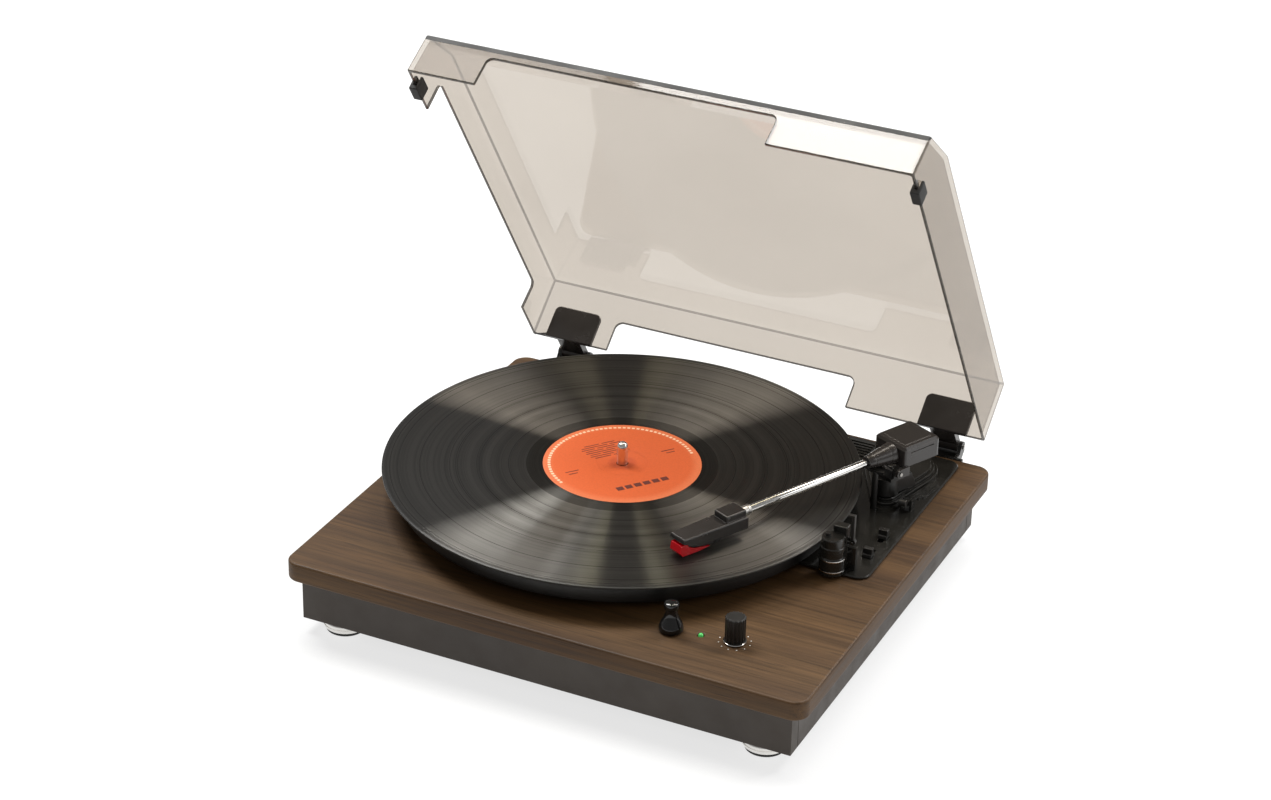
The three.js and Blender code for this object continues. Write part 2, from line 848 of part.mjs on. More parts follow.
// Counterweight housing: a chamfered box with two cheeks reaching forward to the axle.
const HOUSING_FRONT = 3.4;
const HOUSING_BACK = 34;
const HOUSING_BOTTOM = 67.6;
const HOUSING_TOP = 82.4;
const HOUSING_LEFT = -16;
const HOUSING_RIGHT = 11.6;
function housingBody() {
  const outline = roundedRectangle(HOUSING_LEFT, HOUSING_FRONT, HOUSING_RIGHT, HOUSING_BACK, 2.5);
  return new THREE.ExtrudeGeometry(outline, {
    depth: HOUSING_TOP - HOUSING_BOTTOM - 3.2,
    bevelEnabled: true,
    bevelThickness: 1.6,
    bevelSize: 1.6,
    bevelOffset: -1.6,
    bevelSegments: 1,
    curveSegments: 3,
  }).translate(0, 0, HOUSING_BOTTOM + 1.6);
}
function cheek(x0, x1) {
  return join(
    block(x0, 0, AXLE_HEIGHT - 2.6, x1, HOUSING_FRONT + 4, AXLE_HEIGHT + 3.2),
    alongX(2.9, x0, x1, 0, AXLE_HEIGHT, 14),
  );
}
add(
  armBase,
  "counterweight_housing",
  cut(
    join(
      housingBody(),
      cheek(-CHEEK_OUTER, -CHEEK_INNER),
      cheek(CHEEK_INNER, CHEEK_OUTER),
      softBlock(
        HOUSING_LEFT + 4,
        HOUSING_FRONT + 4,
        HOUSING_TOP - 0.6,
        HOUSING_RIGHT - 4,
        HOUSING_BACK - 4,
        HOUSING_TOP + 0.4,
        0.4,
      ),
    ),
    alongX(1.2 + GAP, -15, 15, 0, AXLE_HEIGHT, 12),
    block(HOUSING_LEFT - 1, 9, 78, HOUSING_LEFT + 0.7, HOUSING_BACK - 5, 78.8),
    block(HOUSING_RIGHT - 0.7, 9, 78, HOUSING_RIGHT + 1, HOUSING_BACK - 5, 78.8),
  ),
  blackPlastic(),
);
const SLEEVE_FRONT = -18;
const SLEEVE_BACK = HOUSING_FRONT - GAP;
const SLEEVE_RADIUS = 7.3;
add(
  armBase,
  "arm_sleeve",
  cut(
    alongY(4, SLEEVE_FRONT, SLEEVE_BACK, 0, ARM_HEIGHT, 28, SLEEVE_RADIUS),
    alongY(TUBE_RADIUS + GAP, SLEEVE_FRONT - 1, -4, 0, ARM_HEIGHT, 20),
  ),
  blackPlastic(),
);
add(
  armBase,
  "arm_tube",
  cut(
    alongY(TUBE_RADIUS, TUBE_FRONT, -4.6, 0, ARM_HEIGHT, 20),
    alongY(TUBE_RADIUS - 0.6, TUBE_FRONT - 1, -10, 0, ARM_HEIGHT, 12),
  ),
  chrome(),
);

// Headshell: a block round the tube's end on a flat-topped shell that covers the cartridge.
const HEAD_BACK = -121.5;
const HEAD_STEP = -137;
const HEAD_UNDER = 67.8;
const HEAD_TOP = 76;
function headPlan(front, back, frontHalf, backHalf, z0, z1, ease) {
  const shape = new THREE.Shape();
  shape.moveTo(-frontHalf, front);
  shape.lineTo(frontHalf, front);
  shape.lineTo(backHalf, back);
  shape.lineTo(-backHalf, back);
  shape.closePath();
  return slab(shape, z0, z1, ease);
}
add(
  armBase,
  "headshell_collar",
  cut(
    alongY(3.3, HEAD_BACK + GAP, HEAD_BACK + 7.5, 0, ARM_HEIGHT, 20),
    alongY(TUBE_RADIUS + GAP, HEAD_BACK - 1, HEAD_BACK + 8, 0, ARM_HEIGHT, 20),
  ),
  steel(),
);
add(
  armBase,
  "headshell",
  cut(
    join(
      cut(
        headPlan(HEAD_FRONT, HEAD_BACK, 6.6, 8.2, HEAD_UNDER, HEAD_TOP, 0.6),
        headPlan(HEAD_FRONT + 1.6, HEAD_BACK - 16, 5, 6.2, HEAD_UNDER - 1, HEAD_TOP - 2, 0),
        sideExtrusion(
          [
            [HEAD_FRONT - 2, HEAD_UNDER - 2],
            [HEAD_FRONT - 2, HEAD_TOP - 2.5],
            [HEAD_FRONT + 22, HEAD_UNDER - 2],
          ].reverse(),
          -10,
          10,
        ),
      ),
      softBlock(-6.2, HEAD_STEP, HEAD_UNDER + 1.4, 6.2, HEAD_BACK, 80.2, 0.9),
    ),
    alongY(TUBE_RADIUS + GAP, TUBE_FRONT - GAP, HEAD_BACK + 1, 0, ARM_HEIGHT, 20),
  ),
  blackPlastic(),
);
const CARTRIDGE_BOTTOM = 65.2;
const CARTRIDGE_HALF = 4.6;
add(
  armBase,
  "cartridge",
  sideExtrusion(
    [
      [-165.5, HEAD_TOP - 2 - GAP],
      [-165.5, 69.4],
      [-161, 67],
      [-152, CARTRIDGE_BOTTOM],
      [-141, 64.6],
      [-139.6, 65.4],
      [-139.6, HEAD_TOP - 2 - GAP],
    ].reverse(),
    -CARTRIDGE_HALF,
    CARTRIDGE_HALF,
  ),
  blackPlastic(),
);
const STYLUS_Y = -167.6;
const STYLUS_TIP = RECORD_TOP + 0.2;
add(
  armBase,
  "stylus",
  join(
    sideExtrusion(
      [
        [-165.8, 72],
        [-171.2, 71],
        [-172, 66.4],
        [-170, 63.8],
        [-158, 63.4],
        [-148.6, 64.1],
        [-152, CARTRIDGE_BOTTOM - GAP],
        [-161.2, 67 - GAP],
        [-165.8, 69.2],
      ],
      -4.8,
      4.8,
    ),
    upright(0.35, STYLUS_TIP, 64.4, 0, STYLUS_Y, 8, 0.8),
  ),
  paint(colours.red, 0.3, 0),
);

// A curved rest under the sleeve, raised by the cue lever to lift the arm.
const LIFT_TOP = 70.3;
const LIFT_RADIUS = Math.hypot(LIFT_ROD.x - ARM_AXIS.x, LIFT_ROD.y - ARM_AXIS.y);
const liftPlace = new THREE.Group();
liftPlace.position.set(ARM_AXIS.x, ARM_AXIS.y, 0);
player.add(liftPlace);
const liftArc = new THREE.Shape();
const LIFT_FROM = 205 * DEG;
const LIFT_TO = 284 * DEG;
liftArc.absarc(0, 0, LIFT_RADIUS + 1.2, LIFT_FROM, LIFT_TO, false);
liftArc.absarc(0, 0, LIFT_RADIUS - 1.2, LIFT_TO, LIFT_FROM, true);
add(
  liftPlace,
  "lift_rest",
  join(
    slab(liftArc, LIFT_TOP - 2, LIFT_TOP, 0, 10),
    upright(2, 38, LIFT_TOP - 1, LIFT_ROD.x - ARM_AXIS.x, LIFT_ROD.y - ARM_AXIS.y, 14),
  ),
  blackPlastic(),
);

const lever = new THREE.Group();
lever.position.set(141.5, LEVER_Y, LEVER_Z);
player.add(lever);
add(
  lever,
  "cue_lever",
  join(
    alongX(2.3, -1.4, 2.8, 0, 0, 14),
    alongX(1, -3.2, 4.6, 0, 0, 10),
    sideExtrusion(
      [
        [0, -1.2],
        [0, 1.2],
        [-7, 4],
        [-8, 2.2],
      ],
      -0.9,
      1.9,
    ),
    alongX(2.3, -1.9, 2.9, -7.4, 3, 14),
  ),
  blackPlastic(),
);

// Arm rest: a ringed post and a flat stand beside it, with a catch hinged on its right.
const REST_X = 129.5;
const REST_Y = -14;
const STAND_LEFT = 127;
const STAND_RIGHT = 136.2;
const STAND_FRONT = -9;
const STAND_BACK = -3;
const STAND_TOP = 72.2;
const CATCH_X = 139;
const CATCH_Z = 62;
add(
  player,
  "arm_rest",
  join(
    turned(
      [
        [0, PLATE_TOP + GAP],
        [8, PLATE_TOP + GAP],
        [8, 54],
        [7.2, 54.8],
        [7.2, 58.8],
        [7.6, 59.4],
        [7.6, 61.2],
        [7.2, 61.8],
        [7.2, 67],
        [6.6, 67.6],
        [0, 67.6],
      ],
      24,
    ).translate(REST_X, REST_Y, 0),
    upright(1.8, 67, 70, REST_X - 3, REST_Y - 1, 10),
    softBlock(STAND_LEFT, STAND_FRONT, PLATE_TOP + GAP, STAND_RIGHT, STAND_BACK, STAND_TOP, 0.8),
    block(134, STAND_FRONT + 1.6, PLATE_TOP + GAP, CATCH_X + 3, STAND_BACK - 1.6, 58.6),
    alongY(1, STAND_FRONT + 0.4, STAND_BACK - 0.4, CATCH_X, CATCH_Z, 12),
    block(134, STAND_FRONT + 0.4, CATCH_Z - 1, CATCH_X, STAND_FRONT + 1.4, CATCH_Z + 1),
    block(134, STAND_BACK - 1.4, CATCH_Z - 1, CATCH_X, STAND_BACK - 0.4, CATCH_Z + 1),
  ),
  blackPlastic(),
);
const catchPlace = new THREE.Group();
catchPlace.position.set(CATCH_X, (STAND_FRONT + STAND_BACK) / 2, CATCH_Z);
player.add(catchPlace);
const catchHalf = 1.3;
add(
  catchPlace,
  "arm_catch",
  cut(
    join(
      alongY(2.2, -catchHalf, catchHalf, 0, 0, 16),
      block(-0.9, -catchHalf, 1, 1.1, catchHalf, 18),
      block(-3.4, -catchHalf, 16.9, 1.1, catchHalf, 18.4),
    ),
    alongY(1 + GAP, -3, 3, 0, 0, 12),
  ),
  blackPlastic(),
);

// ---- dust cover and hinges -------------------------------------------------------------------

const NECK_HALF = 8.6;
const EAR_START = NECK_HALF + 0.6;
const EAR_END = EAR_START + 2.4;
for (const [side, sign] of [
  ["left", -1],
  ["right", 1],
]) {
  const bracket = new THREE.Group();
  bracket.position.set(sign * HINGE_X, HINGE_Y, HINGE_Z);
  player.add(bracket);
  const boardBack = halfBoardY - HINGE_Y;
  const ears = [-EAR_END, EAR_START].map((x) =>
    sideExtrusion(
      [
        [boardBack + 1, -14.5],
        [boardBack + 3, -14.5],
        [3.6, -3.5],
        [3.6, 0],
        [-3.6, 0],
        [-6, -3],
        [boardBack + 1, -3.6],
      ],
      x,
      x + 2.4,
    ),
  );
  add(
    bracket,
    "hinge_bracket_" + side,
    cut(
      join(
        block(-15, boardBack + GAP, -16, 15, boardBack + GAP + 2.6, -4),
        sideExtrusion(
          [
            [boardBack + 1, -14.5],
            [boardBack + 3, -14.5],
            [1.5, -4.3],
            [boardBack + 1, -4.3],
          ],
          -EAR_START - 1,
          EAR_START + 1,
        ),
        ears[0],
        ears[1],
        alongX(3.6, -EAR_END, -EAR_START, 0, 0, 16),
        alongX(3.6, EAR_START, EAR_END, 0, 0, 16),
      ),
      alongX(1.5 + GAP, -EAR_END - 1, EAR_END + 1, 0, 0, 12),
    ),
    blackPlastic(),
  );
  add(bracket, "hinge_pin_" + side, alongX(1.5, -EAR_END - 1, EAR_END + 1, 0, 0, 12), steel());
}

// Everything on the moving side of the hinges.
const cover = new THREE.Group();
cover.position.set(0, HINGE_Y, HINGE_Z);
cover.rotation.x = -COVER_OPEN;
player.add(cover);

const coverFront = COVER_BACK - COVER_DEPTH;
const innerBack = COVER_BACK - COVER_WALL;
const leafBack = innerBack - 0.2;
const BACK_SLOPE = 4.6;
const BACK_LEAN = Math.atan(BACK_SLOPE / COVER_HEIGHT);
for (const [side, sign] of [
  ["left", -1],
  ["right", 1],
]) {
  const plateOutline = new THREE.Shape();
  plateOutline.moveTo(-17, -1.2);
  plateOutline.lineTo(17, -1.2);
  plateOutline.lineTo(17, 18);
  plateOutline.absarc(13, 18, 4, 0, 90 * DEG, false);
  plateOutline.lineTo(-13, 22);
  plateOutline.absarc(-13, 18, 4, 90 * DEG, 180 * DEG, false);
  const leafPlate = slab(plateOutline, 0, 3.4, 0.5, 4);
  leafPlate.rotateX(90 * DEG).translate(0, 0, 2).rotateX(BACK_LEAN).translate(0, leafBack, -2);
  const leaf = join(
    leafPlate,
    block(-NECK_HALF, leafBack - 1, -1.2, NECK_HALF, -1, 3.4),
    alongX(3.6, -NECK_HALF, NECK_HALF, 0, 0, 16),
  );
  add(
    cover,
    "hinge_leaf_" + side,
    cut(leaf, alongX(1.5 + GAP, -EAR_START, EAR_START, 0, 0, 12)).translate(sign * HINGE_X, 0, 0),
    blackPlastic(),
  );
}

// The cover itself: side view extruded across, hollowed, with long notches in three of its skirts.
const coverTop = COVER_EDGE + COVER_HEIGHT;
const halfCover = COVER_WIDTH / 2;
const coverOuter = sideExtrusion(
  [
    [COVER_BACK, COVER_EDGE],
    [COVER_BACK - BACK_SLOPE, coverTop],
    [COVER_BACK - 263.3, coverTop],
    [coverFront + 2.2, COVER_EDGE + 28.75],
    [coverFront, COVER_EDGE],
  ],
  -halfCover,
  halfCover,
);
const coverInner = sideExtrusion(
  [
    [innerBack + 0.2, COVER_EDGE - 2],
    [innerBack - 4.4, coverTop - COVER_WALL],
    [COVER_BACK - 262.6, coverTop - COVER_WALL],
    [coverFront + 4.5, COVER_EDGE + 27.3],
    [coverFront + 2.2, COVER_EDGE - 2],
  ],
  -halfCover + COVER_WALL,
  halfCover - COVER_WALL,
);
// A notch open at the bottom, seen from the front: x0..x1, up to a height, with round upper corners.
function notch(from, to, height, radius) {
  const shape = new THREE.Shape();
  shape.moveTo(from, -6);
  shape.lineTo(to, -6);
  shape.lineTo(to, height - radius);
  shape.absarc(to - radius, height - radius, radius, 0, 90 * DEG, false);
  shape.lineTo(from + radius, height);
  shape.absarc(from + radius, height - radius, radius, 90 * DEG, 180 * DEG, false);
  return slab(shape, -8, 8, 0, 4).rotateX(90 * DEG).translate(0, 0, COVER_EDGE);
}
const NOTCH_HEIGHT = 21;
const sideNotch = notch(-262.5, -34.3, 20, 4).rotateZ(90 * DEG);
sideNotch.translate(-halfCover, COVER_BACK, 0);
const frontNotch = notch(-halfCover + 46, -halfCover + 235, NOTCH_HEIGHT, 4);
frontNotch.translate(0, coverFront, 0);
const backNotch = notch(-halfCover + 56.3, -halfCover + 230, NOTCH_HEIGHT + 0.5, 5);
backNotch.translate(0, COVER_BACK, 0);
const leafNotches = [-1, 1].map((sign) => {
  const gap = notch(sign * HINGE_X - EAR_START - 1, sign * HINGE_X + EAR_START + 1, 5.6, 1);
  return gap.translate(0, COVER_BACK, 0);
});
add(
  cover,
  "dust_cover",
  cut(coverOuter, coverInner, frontNotch, sideNotch, backNotch, ...leafNotches),
  new THREE.MeshStandardMaterial({
    color: colours.smoke,
    roughness: 0.08,
    metalness: 0,
    transparent: true,
    opacity: 0.35,
  }),
);

// Rubber clips on the lower edges of the side skirts, near the front.
const BUMPER_Y = COVER_BACK - 283;
for (const [side, sign] of [
  ["left", -1],
  ["right", 1],
]) {
  const middle = sign * (halfCover - COVER_WALL / 2);
  const half = COVER_WALL / 2 + GAP;
  add(
    cover,
    "bumper_" + side,
    cut(
      softBlock(
        middle - half - 1.7,
        BUMPER_Y - 6,
        COVER_EDGE - 3.4,
        middle + half + 1.7,
        BUMPER_Y + 6,
        COVER_EDGE + 6.5,
        0.7,
      ),
      block(middle - half, BUMPER_Y - 7, COVER_EDGE - GAP, middle + half, BUMPER_Y + 7, COVER_EDGE + 8),
    ),
    rubber(),
  );
}

// The origin: the middle of the whole player's bounding box, on the ground.
player.updateMatrixWorld(true);
const bounds = new THREE.Box3().setFromObject(player, true);
const middle = bounds.getCenter(new THREE.Vector3());
const root = new THREE.Group();
root.name = "turntable";
player.position.set(-middle.x, -middle.y, -bounds.min.z);
root.add(player);

export default root;
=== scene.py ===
import math

import bmesh
import bpy
from mathutils import Matrix, Vector


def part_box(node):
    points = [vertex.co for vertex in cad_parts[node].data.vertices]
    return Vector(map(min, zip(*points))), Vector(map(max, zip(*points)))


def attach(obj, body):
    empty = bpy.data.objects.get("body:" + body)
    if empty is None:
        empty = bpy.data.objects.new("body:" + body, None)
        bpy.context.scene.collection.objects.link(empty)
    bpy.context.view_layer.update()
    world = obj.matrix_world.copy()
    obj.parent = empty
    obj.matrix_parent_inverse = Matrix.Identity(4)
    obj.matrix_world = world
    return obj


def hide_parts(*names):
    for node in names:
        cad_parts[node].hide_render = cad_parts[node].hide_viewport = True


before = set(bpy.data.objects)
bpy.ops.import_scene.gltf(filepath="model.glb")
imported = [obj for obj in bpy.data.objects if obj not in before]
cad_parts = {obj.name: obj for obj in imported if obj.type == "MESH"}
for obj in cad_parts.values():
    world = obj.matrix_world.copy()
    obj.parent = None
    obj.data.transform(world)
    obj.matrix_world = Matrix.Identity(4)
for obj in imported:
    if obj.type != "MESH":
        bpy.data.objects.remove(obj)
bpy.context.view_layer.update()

MM = 0.001
board_low, board_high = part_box("top_board")
base_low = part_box("base_front_panel")[0]
DECK = Vector(((board_low.x + board_high.x) / 2, (board_low.y + board_high.y) / 2, base_low.z))

# Places across the deck.
SPINDLE = (-26.7, 16.7)
ARM_AXIS = (125.5, 82.7)
MODE_KNOB = (70.6, -117)
VOLUME_KNOB = (109, -111)
LAMP = (88.3, -113.5)
REST_STAND = (129.5, -14)

# Heights.
BOARD_BOTTOM = 28.5
BOARD_TOP = 41.1
PLATTER_CEILING = 55.2
RECORD_TOP = 62.1
ARM_HEIGHT = 75.3

# Radii on the record, and the distance from one track's start to the next.
HOLE = 3.8
PRESSED_CIRCLE = 16.0
LABEL_RADIUS = 50.0
RECESS_RADIUS = 50.3
GROOVE_START = 60.5
GROOVE_END = 147.4
TRACK_WIDTH = 18.6

# Printed marks are thin solids, just above what they are printed on.
INK_TOP = 0.06
INK_DEPTH = 0.04

ARM_TURN = math.radians(-25.4)
WHITE = (1.0, 1.0, 1.0, 1.0)

# The CAD's facets are cleaned by these: points this near are one, faces this flat are one.
WELD_DISTANCE = 2e-6
FACET_ANGLE = math.radians(0.6)


def deck(x, y, z):
    return DECK + Vector((x, y, z)) * MM


def stand_at(x, y, z=0.0, turn=0.0):
    """A matrix that puts millimetre shapes on the deck frame, turned about +Z."""
    return Matrix.Translation(deck(x, y, z)) @ Matrix.Rotation(turn, 4, "Z") @ Matrix.Scale(MM, 4)


AT_TUBE = stand_at(*ARM_AXIS, ARM_HEIGHT, ARM_TURN) @ Matrix.Rotation(math.radians(90), 4, "X")


# ---- colours and node building ---------------------------------------------------------------

def srgb(red, green, blue):
    """Linear colour from display values 0 to 255."""
    return tuple(
        (v / 255 / 12.92) if v / 255 <= 0.04045 else ((v / 255 + 0.055) / 1.055) ** 2.4
        for v in (red, green, blue)
    ) + (1.0,)


def put(tree, kind, inputs=None, **settings):
    """A new node with its settings; an input takes a value or another node's output."""
    node = tree.nodes.new(kind)
    for name, value in settings.items():
        setattr(node, name, value)
    for name, value in (inputs or {}).items():
        if isinstance(value, bpy.types.NodeSocket):
            tree.links.new(value, node.inputs[name])
        else:
            node.inputs[name].default_value = value
    return node


def maths(tree, operation, first, second=0.0):
    return put(tree, "ShaderNodeMath", {0: first, 1: second}, operation=operation).outputs[0]


def span(tree, value, from_low, from_high, low, high):
    """Maps one range of values onto another and stops at its ends."""
    limits = {"From Min": from_low, "From Max": from_high, "To Min": low, "To Max": high}
    return put(tree, "ShaderNodeMapRange", {"Value": value, **limits}).outputs[0]


def multiply_colours(tree, first, second):
    return put(
        tree,
        "ShaderNodeMix",
        {"Factor": 1.0, 6: first, 7: second},
        data_type="RGBA",
        blend_type="MULTIPLY",
    ).outputs[2]


def ramp(tree, factor, stops):
    """A colour ramp; stops are (place, colour)."""
    node = put(tree, "ShaderNodeValToRGB", {"Fac": factor})
    elements = node.color_ramp.elements
    while len(elements) < len(stops):
        elements.new(0.5)
    for element, (place, colour) in zip(elements, stops):
        element.position = place
        element.color = colour
    return node.outputs["Color"]


def grey(value):
    """A neutral linear colour."""
    return (value, value, value, 1.0)


class Finish:
    """A material on the Principled shader, with object coordinates ready for its nodes."""

    def __init__(self, name, colour, roughness, metallic=0.0, **sockets):
        self.material = bpy.data.materials.new(name)
        self.material.use_nodes = True
        self.tree = self.material.node_tree
        self.shader = self.tree.nodes["Principled BSDF"]
        self.set("Base Color", colour)
        self.set("Roughness", roughness)
        self.set("Metallic", metallic)
        for socket, value in sockets.items():
            self.set(socket.replace("_", " "), value)
        self.place = put(self.tree, "ShaderNodeTexCoord").outputs["Object"]
        self.height = None

    def set(self, socket, value):
        if isinstance(value, bpy.types.NodeSocket):
            self.tree.links.new(value, self.shader.inputs[socket])
        else:
            self.shader.inputs[socket].default_value = value

    def noise(self, stretch, detail=3.0, roughness=0.55, place=None, distortion=0.0):
        """Noise whose features are about 1/stretch metres long on each axis."""
        moved = put(
            self.tree, "ShaderNodeMapping", {"Vector": place or self.place, "Scale": stretch}
        )
        node = put(
            self.tree,
            "ShaderNodeTexNoise",
            {
                "Vector": moved.outputs[0],
                "Scale": 1.0,
                "Detail": detail,
                "Roughness": roughness,
                "Distortion": distortion,
            },
        )
        return node.outputs["Fac"]

    def vary_colour(self, factor, stops):
        self.set("Base Color", ramp(self.tree, factor, stops))

    def vary_roughness(self, factor, low, high):
        self.set("Roughness", span(self.tree, factor, 0.3, 0.7, low, high))

    def bump(self, height, depth_mm, strength=1.0):
        """Relief from a height map, on top of any relief the finish has already."""
        node = put(
            self.tree,
            "ShaderNodeBump",
            {"Height": height, "Distance": depth_mm * MM, "Strength": strength},
        )
        if self.height is not None:
            self.tree.links.new(self.height, node.inputs["Normal"])
        self.height = node.outputs[0]
        self.set("Normal", self.height)

    def rub_and_highlight_edges(self, tone, width_mm, most):
        """A lighter, patchy tone along the edges, where the surface is rubbed, and a painted
        highlight where the edges catch light.
        """
        rounded = put(self.tree, "ShaderNodeBevel", {"Radius": width_mm * MM}, samples=4)
        flat = put(self.tree, "ShaderNodeNewGeometry").outputs["True Normal"]
        agree = put(
            self.tree,
            "ShaderNodeVectorMath",
            {0: rounded.outputs[0], 1: flat},
            operation="DOT_PRODUCT",
        ).outputs["Value"]
        # Near an edge the tone is lighter: rubbed wear and a painted edge highlight.
        edge = span(self.tree, agree, 0.99, 0.8, 0.0, most)
        patches = span(self.tree, self.noise((180, 180, 180), 3.0), 0.35, 0.6, 0.25, 1.0)
        base = self.shader.inputs["Base Color"].links[0].from_socket
        rubbed_and_highlighted = put(
            self.tree,
            "ShaderNodeMix",
            {"Factor": maths(self.tree, "MULTIPLY", edge, patches), 6: base, 7: tone},
            data_type="RGBA",
        ).outputs[2]
        self.set("Base Color", rubbed_and_highlighted)


# ---- materials -------------------------------------------------------------------------------

def make_walnut():
    finish = Finish("walnut_veneer", srgb(80, 62, 45), 0.42)
    tree = finish.tree
    # The veneer wraps the side edges, where its grain runs front to back.
    split = put(tree, "ShaderNodeSeparateXYZ", {"Vector": finish.place})
    swapped = put(
        tree,
        "ShaderNodeCombineXYZ",
        {"X": split.outputs["Y"], "Y": split.outputs["X"], "Z": split.outputs["Z"]},
    )
    facing = put(
        tree,
        "ShaderNodeSeparateXYZ",
        {"Vector": put(tree, "ShaderNodeNewGeometry").outputs["Normal"]},
    )
    sideways = maths(
        tree, "GREATER_THAN", maths(tree, "ABSOLUTE", facing.outputs["X"]), 0.6
    )
    along = put(
        tree,
        "ShaderNodeMix",
        {"Factor": sideways, 4: finish.place, 5: swapped.outputs[0]},
        data_type="VECTOR",
    ).outputs[1]
    figure = finish.noise((2.2, 26, 26), 4.0, 0.6, along, 0.6)
    grain = finish.noise((7, 420, 420), 5.0, 0.7, along)
    streak = finish.noise((3.5, 110, 110), 4.0, 0.6, along)
    pores = finish.noise((38, 1500, 1500), 2.0, 0.5, along)
    body = ramp(
        tree,
        figure,
        [
            (0.30, srgb(66, 45, 26)),
            (0.46, srgb(79, 56, 33)),
            (0.60, srgb(92, 67, 40)),
            (0.72, srgb(75, 52, 30)),
        ],
    )
    lines = ramp(tree, grain, [(0.34, grey(0.6)), (0.5, grey(0.9)), (0.66, grey(1.12))])
    bands = ramp(tree, streak, [(0.36, grey(0.84)), (0.58, grey(1.03))])
    marks = ramp(tree, pores, [(0.30, grey(0.5)), (0.40, grey(1.0))])
    colour = body
    for layer in (lines, bands, marks):
        colour = multiply_colours(tree, colour, layer)
    finish.set("Base Color", colour)
    finish.vary_roughness(grain, 0.44, 0.6)
    finish.bump(grain, 0.05)
    finish.bump(pores, 0.04)
    finish.set("Specular IOR Level", 0.24)
    # Lighter edges: rubbed veneer and a painted highlight along the rounded edges.
    finish.rub_and_highlight_edges(srgb(132, 104, 72), 1.0, 0.6)
    return finish.material


def spindle_radius(finish):
    """Distance in millimetres from the spindle's axis, as a node output."""
    centre = deck(*SPINDLE, 0.0)
    moved = put(
        finish.tree,
        "ShaderNodeVectorMath",
        {0: finish.place, 1: (-centre.x, -centre.y, 0.0)},
        operation="ADD",
    )
    flat = put(
        finish.tree,
        "ShaderNodeVectorMath",
        {0: moved.outputs[0], 1: (1 / MM, 1 / MM, 0.0)},
        operation="MULTIPLY",
    )
    length = put(finish.tree, "ShaderNodeVectorMath", {0: flat.outputs[0]}, operation="LENGTH")
    return length.outputs["Value"]


def rings(finish, radius, per_mm):
    """Noise that changes only with the radius."""
    node = put(
        finish.tree,
        "ShaderNodeTexNoise",
        {"W": radius, "Scale": per_mm, "Detail": 3.0, "Roughness": 0.6},
        noise_dimensions="1D",
    )
    return node.outputs["Fac"]


def make_vinyl():
    finish = Finish("pressed_vinyl", srgb(20, 19, 18), 0.3)
    finish.set("Specular IOR Level", 0.22)
    tree = finish.tree
    radius = spindle_radius(finish)
    fine = rings(finish, radius, 1.6)
    broad = rings(finish, radius, 0.16)
    # Grooved between the run-out and the lead-in, smooth outside them.
    past_start = maths(tree, "GREATER_THAN", radius, GROOVE_START)
    before_end = maths(tree, "LESS_THAN", radius, GROOVE_END)
    grooved = maths(tree, "MULTIPLY", past_start, before_end)
    # The ping-pong comes back to 0 once a track, where a narrow smoother ring parts the tracks.
    tracks = maths(tree, "PINGPONG", maths(tree, "ADD", radius, 3.0), TRACK_WIDTH / 2)
    between = maths(tree, "MULTIPLY", maths(tree, "LESS_THAN", tracks, 0.26), 0.55)
    playing = maths(tree, "MULTIPLY", grooved, maths(tree, "SUBTRACT", 1.0, between))
    half_fine = maths(tree, "MULTIPLY", fine, 0.5)
    half_broad = maths(tree, "MULTIPLY", broad, 0.5)
    mixed = maths(tree, "ADD", half_fine, half_broad)
    rough = span(tree, mixed, 0.35, 0.65, 0.27, 0.37)
    rim = maths(tree, "GREATER_THAN", radius, GROOVE_END)
    smooth = maths(tree, "ADD", 0.2, maths(tree, "MULTIPLY", rim, 0.2))
    roughness = put(
        tree,
        "ShaderNodeMix",
        {"Factor": playing, 2: smooth, 3: rough},
        data_type="FLOAT",
    ).outputs[0]
    finish.set("Roughness", roughness)
    finish.vary_colour(mixed, [(0.3, srgb(9, 9, 8)), (0.7, srgb(22, 20, 18))])
    finish.bump(maths(tree, "MULTIPLY", fine, playing), 0.08, 0.6)
    # The groove walls mirror light across the grooves only, so each lamp draws a fan.
    tangent = put(tree, "ShaderNodeTangent", direction_type="RADIAL", axis="Z")
    tint = ramp(tree, mixed, [(0.3, srgb(226, 219, 207)), (0.7, srgb(255, 250, 240))])
    walls = put(
        tree,
        "ShaderNodeBsdfAnisotropic",
        {
            "Color": tint,
            "Roughness": 0.3,
            "Anisotropy": 0.86,
            "Tangent": tangent.outputs[0],
        },
    )
    streaks = span(tree, mixed, 0.36, 0.64, 0.066, 0.1)
    share = maths(tree, "MULTIPLY", streaks, maths(tree, "MAXIMUM", playing, 0.5))
    whole = put(
        tree,
        "ShaderNodeMixShader",
        {0: share, 1: finish.shader.outputs[0], 2: walls.outputs[0]},
    )
    tree.links.new(whole.outputs[0], tree.nodes["Material Output"].inputs["Surface"])
    return finish.material


def make_label():
    finish = Finish("label_paper", srgb(244, 123, 60), 0.5)
    tree = finish.tree
    radius = spindle_radius(finish)
    pulp = finish.noise((900, 900, 900), 3.0)
    tint = ramp(
        tree,
        maths(tree, "DIVIDE", radius, LABEL_RADIUS),
        [
            (0.14, srgb(196, 78, 26)),
            (0.2, srgb(214, 92, 34)),
            (0.86, srgb(218, 96, 38)),
            (0.95, srgb(226, 116, 66)),
        ],
    )
    fibres = ramp(tree, pulp, [(0.3, grey(0.93)), (0.7, grey(1.04))])
    finish.set("Base Color", multiply_colours(tree, tint, fibres))
    finish.bump(pulp, 0.02)
    # The pressed circle in the middle of a label.
    from_circle = maths(tree, "ABSOLUTE", maths(tree, "SUBTRACT", radius, PRESSED_CIRCLE))
    finish.bump(maths(tree, "LESS_THAN", from_circle, 0.4), -0.12)
    return finish.material


